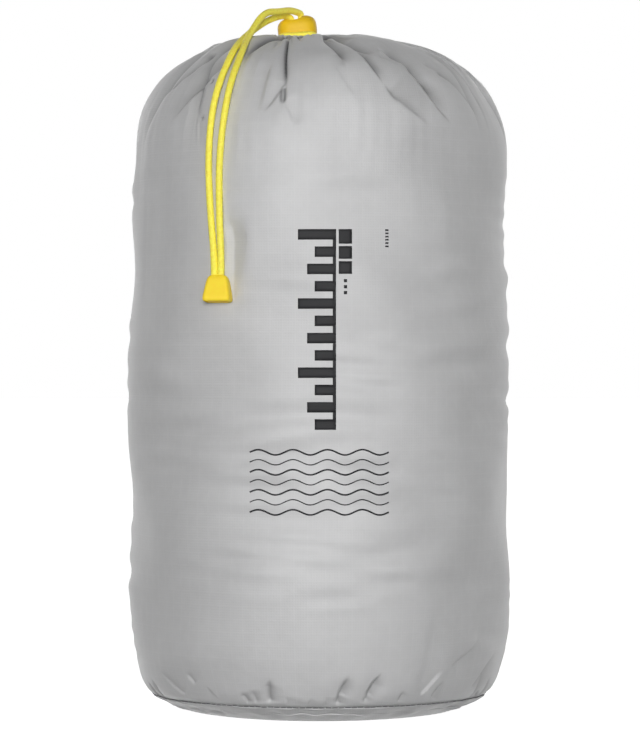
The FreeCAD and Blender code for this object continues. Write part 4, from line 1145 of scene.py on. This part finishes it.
def fabric(name, tint, with_uv=True):
    m, nt, bsdf = material(name)
    g = Graph(nt)
    tc = g.node("ShaderNodeTexCoord")
    if with_uv:
        uvn = g.node("ShaderNodeUVMap", uv_map="cloth")
        vec = uvn.outputs[0]
    else:
        mp = g.node("ShaderNodeMapping")
        mp.inputs["Scale"].default_value = (10, 10, 10)
        g.link(tc.outputs["Object"], mp.inputs["Vector"])
        vec = mp.outputs[0]
    sep = g.node("ShaderNodeSeparateXYZ")
    g.link(vec, sep.inputs[0])
    u, v = sep.outputs[0], sep.outputs[1]
    # threads: 0.9 mm check of finer and heavier yarns, 100 mm to one unit
    waves = []
    for c in (u, v):
        w = g.math("MULTIPLY", c, 2 * math.pi * 100 / 0.92)
        waves.append(g.math("SINE", w))
    yarn = g.math("MAXIMUM", waves[0], waves[1])
    heavy = []
    for c in (u, v):
        p = g.math("FRACT", g.math("MULTIPLY", c, 100 / 4.6))
        d = g.math("ABSOLUTE", g.math("SUBTRACT", p, 0.5))
        heavy.append(g.math("LESS_THAN", d, 0.055))
    rip = g.math("MAXIMUM", heavy[0], heavy[1])
    obj = tc.outputs["Object"]
    big = g.noise(obj, 60, 3, 0.55)
    crum = g.noise(obj, 300, 4, 0.6)
    fine = g.noise(obj, 1500, 2, 0.5)
    tone = g.math("ADD", g.math("MULTIPLY", big, 0.5), g.math("MULTIPLY", crum, 0.25))
    tone = g.math("ADD", tone, g.math("MULTIPLY", yarn, 0.042))
    tone = g.math("ADD", tone, g.math("MULTIPLY", rip, 0.058))
    tone = g.math("ADD", tone, g.math("MULTIPLY", fine, 0.10))
    dark = tuple(t * 0.93 for t in tint)
    lite = tuple(min(t * 1.05, 1) for t in tint)
    cloth = g.ramp(tone, [(0.22, dark), (0.62, lite)])
    # painted shade: the cloth's colour is darkened by the fold attribute, the shade painted into the creases
    if with_uv:
        at = g.node("ShaderNodeAttribute", attribute_name="fold")
        keep = g.math("SUBTRACT", 1.0, at.outputs["Fac"], clamp=True)
        mixc = g.node("ShaderNodeVectorMath", operation="SCALE")
        g.link(cloth, mixc.inputs[0])
        g.link(keep, mixc.inputs["Scale"])
        cloth = mixc.outputs[0]
    g.link(cloth, bsdf.inputs["Base Color"])
    hsum = g.math("ADD", g.math("MULTIPLY", yarn, 0.18), g.math("MULTIPLY", rip, 0.25))
    hsum = g.math("ADD", hsum, g.math("MULTIPLY", crum, 1.6))
    hsum = g.math("ADD", hsum, g.math("MULTIPLY", big, 2.2))
    bump = g.node("ShaderNodeBump")
    bump.inputs["Strength"].default_value = 0.55
    bump.inputs["Distance"].default_value = 0.0001
    g.link(hsum, bump.inputs["Height"])
    g.link(bump.outputs[0], bsdf.inputs["Normal"])
    rgh = g.node("ShaderNodeMapRange")
    rgh.inputs["To Min"].default_value = 0.44
    rgh.inputs["To Max"].default_value = 0.56
    g.link(crum, rgh.inputs[0])
    g.link(rgh.outputs[0], bsdf.inputs["Roughness"])
    bsdf.inputs["Specular IOR Level"].default_value = 0.5
    bsdf.inputs["Sheen Weight"].default_value = 0.18
    bsdf.inputs["Sheen Roughness"].default_value = 0.35
    return m


def cord_material(name, colour):
    m, nt, bsdf = material(name)
    g = Graph(nt)
    tc = g.node("ShaderNodeTexCoord")
    obj = tc.outputs["Object"]
    n1 = g.noise(obj, 900, 3, 0.6)
    n2 = g.noise(obj, 4200, 2, 0.5)
    mix = g.math("ADD", g.math("MULTIPLY", n1, 0.6), g.math("MULTIPLY", n2, 0.4))
    dark = tuple(c * k for c, k in zip(colour, (0.86, 0.80, 0.6)))
    lite = tuple(min(c * 1.04, 1) for c in colour)
    g.link(g.ramp(mix, [(0.3, dark), (0.6, lite)]), bsdf.inputs["Base Color"])
    bump = g.node("ShaderNodeBump")
    bump.inputs["Strength"].default_value = 0.4
    bump.inputs["Distance"].default_value = 0.00006
    g.link(n2, bump.inputs["Height"])
    g.link(bump.outputs[0], bsdf.inputs["Normal"])
    bsdf.inputs["Roughness"].default_value = 0.55
    bsdf.inputs["Sheen Weight"].default_value = 0.06
    bsdf.inputs["Sheen Roughness"].default_value = 0.4
    bsdf.inputs["Specular IOR Level"].default_value = 0.3
    # painted glow: a weak emission in the cord's own yellow makes it brighter than the lamps alone light it
    bsdf.inputs["Emission Color"].default_value = (*colour, 1.0)
    bsdf.inputs["Emission Strength"].default_value = 0.05
    return m


def plastic(name, colour, rough=0.34, glow=0.0):
    m, nt, bsdf = material(name)
    g = Graph(nt)
    tc = g.node("ShaderNodeTexCoord")
    obj = tc.outputs["Object"]
    n1 = g.noise(obj, 350, 3, 0.5)
    n2 = g.noise(obj, 2600, 2, 0.5)
    g.link(g.ramp(n1, [(0.3, tuple(c * 0.95 for c in colour)), (0.7, tuple(min(c * 1.03, 1) for c in colour))]), bsdf.inputs["Base Color"])
    mr = g.node("ShaderNodeMapRange")
    mr.inputs["To Min"].default_value = rough - 0.05
    mr.inputs["To Max"].default_value = rough + 0.07
    g.link(n2, mr.inputs[0])
    g.link(mr.outputs[0], bsdf.inputs["Roughness"])
    bump = g.node("ShaderNodeBump")
    bump.inputs["Strength"].default_value = 0.12
    bump.inputs["Distance"].default_value = 0.00005
    g.link(n2, bump.inputs["Height"])
    g.link(bump.outputs[0], bsdf.inputs["Normal"])
    bsdf.inputs["Specular IOR Level"].default_value = 0.35
    # painted glow: glow sets a weak emission in the plastic's own colour, brightening it beyond what the lamps give
    bsdf.inputs["Emission Color"].default_value = (*colour, 1.0)
    bsdf.inputs["Emission Strength"].default_value = glow
    return m


def plain(name, colour, rough, metal=0.0, scale=1800, depth=0.08):
    m, nt, bsdf = material(name)
    g = Graph(nt)
    tc = g.node("ShaderNodeTexCoord")
    n1 = g.noise(tc.outputs["Object"], scale, 3, 0.55)
    g.link(g.ramp(n1, [(0.3, tuple(c * (1 - depth) for c in colour)), (0.7, tuple(min(c * (1 + depth), 1) for c in colour))]), bsdf.inputs["Base Color"])
    mr = g.node("ShaderNodeMapRange")
    mr.inputs["To Min"].default_value = max(rough - 0.06, 0.05)
    mr.inputs["To Max"].default_value = min(rough + 0.06, 1)
    g.link(n1, mr.inputs[0])
    g.link(mr.outputs[0], bsdf.inputs["Roughness"])
    bsdf.inputs["Metallic"].default_value = metal
    return m


def dress(ob, mat):
    ob.data.materials.clear()
    ob.data.materials.append(mat)


SHELL = fabric("ripstop", (0.565, 0.565, 0.569))
# painted shade: the base panel is the same ripstop in a darker tint, standing in for the shade on the sack's
# underside
BASE_SHADED_M = fabric("ripstop_base", (0.48, 0.48, 0.484), with_uv=False)
YELLOW = cord_material("braided_cord", (1.0, 0.89, 0.11))
LOCK_P = plastic("lock_plastic", (0.84, 0.54, 0.015), 0.50)
# the cord end carries a painted glow of 0.05
END_P = plastic("cord_end_plastic", (1.0, 0.73, 0.035), 0.50, 0.05)
INK_M = plain("print_ink", (0.019, 0.019, 0.021), 0.7)
THREAD = plain("sewing_thread", (0.10, 0.10, 0.105), 0.8, depth=0.25)
STEEL = plain("spring_steel", (0.62, 0.62, 0.64), 0.28, 1.0)
dress(sack, SHELL)
dress(base_ob, BASE_SHADED_M)
dress(art_ob, INK_M)
dress(stitches, THREAD)
for o in (cord_right, cord_left, cord_legs):
    dress(o, YELLOW)
dress(lock, LOCK_P)
dress(button, LOCK_P)
dress(spring, STEEL)
dress(bell, END_P)
dress(cap, END_P)
for name, mat in (("cord_end_knot", YELLOW), ("drawcord_loop", YELLOW)):
    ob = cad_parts[name]
    for i in range(len(ob.material_slots)):
        ob.material_slots[i].link = "OBJECT"
        ob.material_slots[i].material = mat

# ============================================================ cords' bodies
for ob, node in ((cord_right, "tail_cord_right"), (cord_left, "tail_cord_left")):
    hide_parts(node)
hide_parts("drawcord_legs")
for ob in (cord_right, cord_left):
    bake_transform(ob)
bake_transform(cord_legs)

# ============================================================ floor, lights
floor_v = [(-9, -9, -0.0003), (9, -9, -0.0003), (9, 9, -0.0003), (-9, 9, -0.0003)]
floor = new_mesh("floor", floor_v, [(0, 1, 2, 3)], smooth=False)
fm, fnt, fb = material("pale_floor")
fb.inputs["Base Color"].default_value = (0.92, 0.92, 0.92, 1)
fb.inputs["Roughness"].default_value = 0.9
fb.inputs["Specular IOR Level"].default_value = 0.0
fb.inputs["Emission Color"].default_value = (1, 1, 1, 1)
fb.inputs["Emission Strength"].default_value = 0.88
dress(floor, fm)
floor.visible_diffuse = False
floor.visible_glossy = False

world = bpy.data.worlds.new("studio")
scene.world = world
world.use_nodes = True
wt = world.node_tree
wt.nodes.clear()
wg = Graph(wt)
out = wg.node("ShaderNodeOutputWorld")
tc = wg.node("ShaderNodeTexCoord")
sep = wg.node("ShaderNodeSeparateXYZ")
wg.link(tc.outputs["Generated"], sep.inputs[0])
dx, dy, dz = sep.outputs
back = wg.node("ShaderNodeMapRange", interpolation_type="SMOOTHSTEP")
wg.link(dy, back.inputs[0])
back.inputs["From Min"].default_value = 0.18
back.inputs["From Max"].default_value = 0.62
back.inputs["To Min"].default_value = 0.085
back.inputs["To Max"].default_value = 1.95
top = wg.node("ShaderNodeMapRange", interpolation_type="SMOOTHSTEP")
wg.link(dz, top.inputs[0])
top.inputs["From Min"].default_value = 0.25
top.inputs["From Max"].default_value = 0.7
top.inputs["To Min"].default_value = 1.0
top.inputs["To Max"].default_value = 0.35
level = wg.math("MULTIPLY", back.outputs[0], top.outputs[0])
lp = wg.node("ShaderNodeLightPath")
bg1 = wg.node("ShaderNodeBackground")
wg.link(level, bg1.inputs["Strength"])
bg2 = wg.node("ShaderNodeBackground")
bg2.inputs["Strength"].default_value = 1.0
bg2.inputs["Color"].default_value = (1, 1, 1, 1)
mixw = wg.node("ShaderNodeMixShader")
wg.link(lp.outputs["Is Camera Ray"], mixw.inputs[0])
wg.link(bg1.outputs[0], mixw.inputs[1])
wg.link(bg2.outputs[0], mixw.inputs[2])
wg.link(mixw.outputs[0], out.inputs["Surface"])


def area(name, at, aim, size, power):
    li = bpy.data.lights.new(name, "AREA")
    li.shape = "RECTANGLE"
    li.size, li.size_y = size
    li.energy = power
    ob = bpy.data.objects.new(name, li)
    scene.collection.objects.link(ob)
    ob.location = at
    ob.rotation_euler = (Vector(aim) - Vector(at)).to_track_quat("-Z", "Y").to_euler()
    ob.visible_camera = False
    return ob


key = area("key", (-0.07, -1.95, 0.36), (0, 0, 0.14), (0.5, 0.6), 29.0)
key.visible_glossy = False
area("fill", (0.7, -1.8, 0.30), (0, 0, 0.14), (0.9, 1.0), 3.5)
for where, power in ((-0.85, 7.5), (-0.12, 15.0), (0.75, 6.5)):
    gloss = area("gloss_strip", (where, -1.6, 0.25), (0, 0, 0.14), (0.5, 1.2), power)
    gloss.visible_diffuse = False

scene.view_settings.view_transform = "Standard"
scene.view_settings.look = "None"
scene.view_settings.exposure = 0.0
scene.view_settings.gamma = 1.0
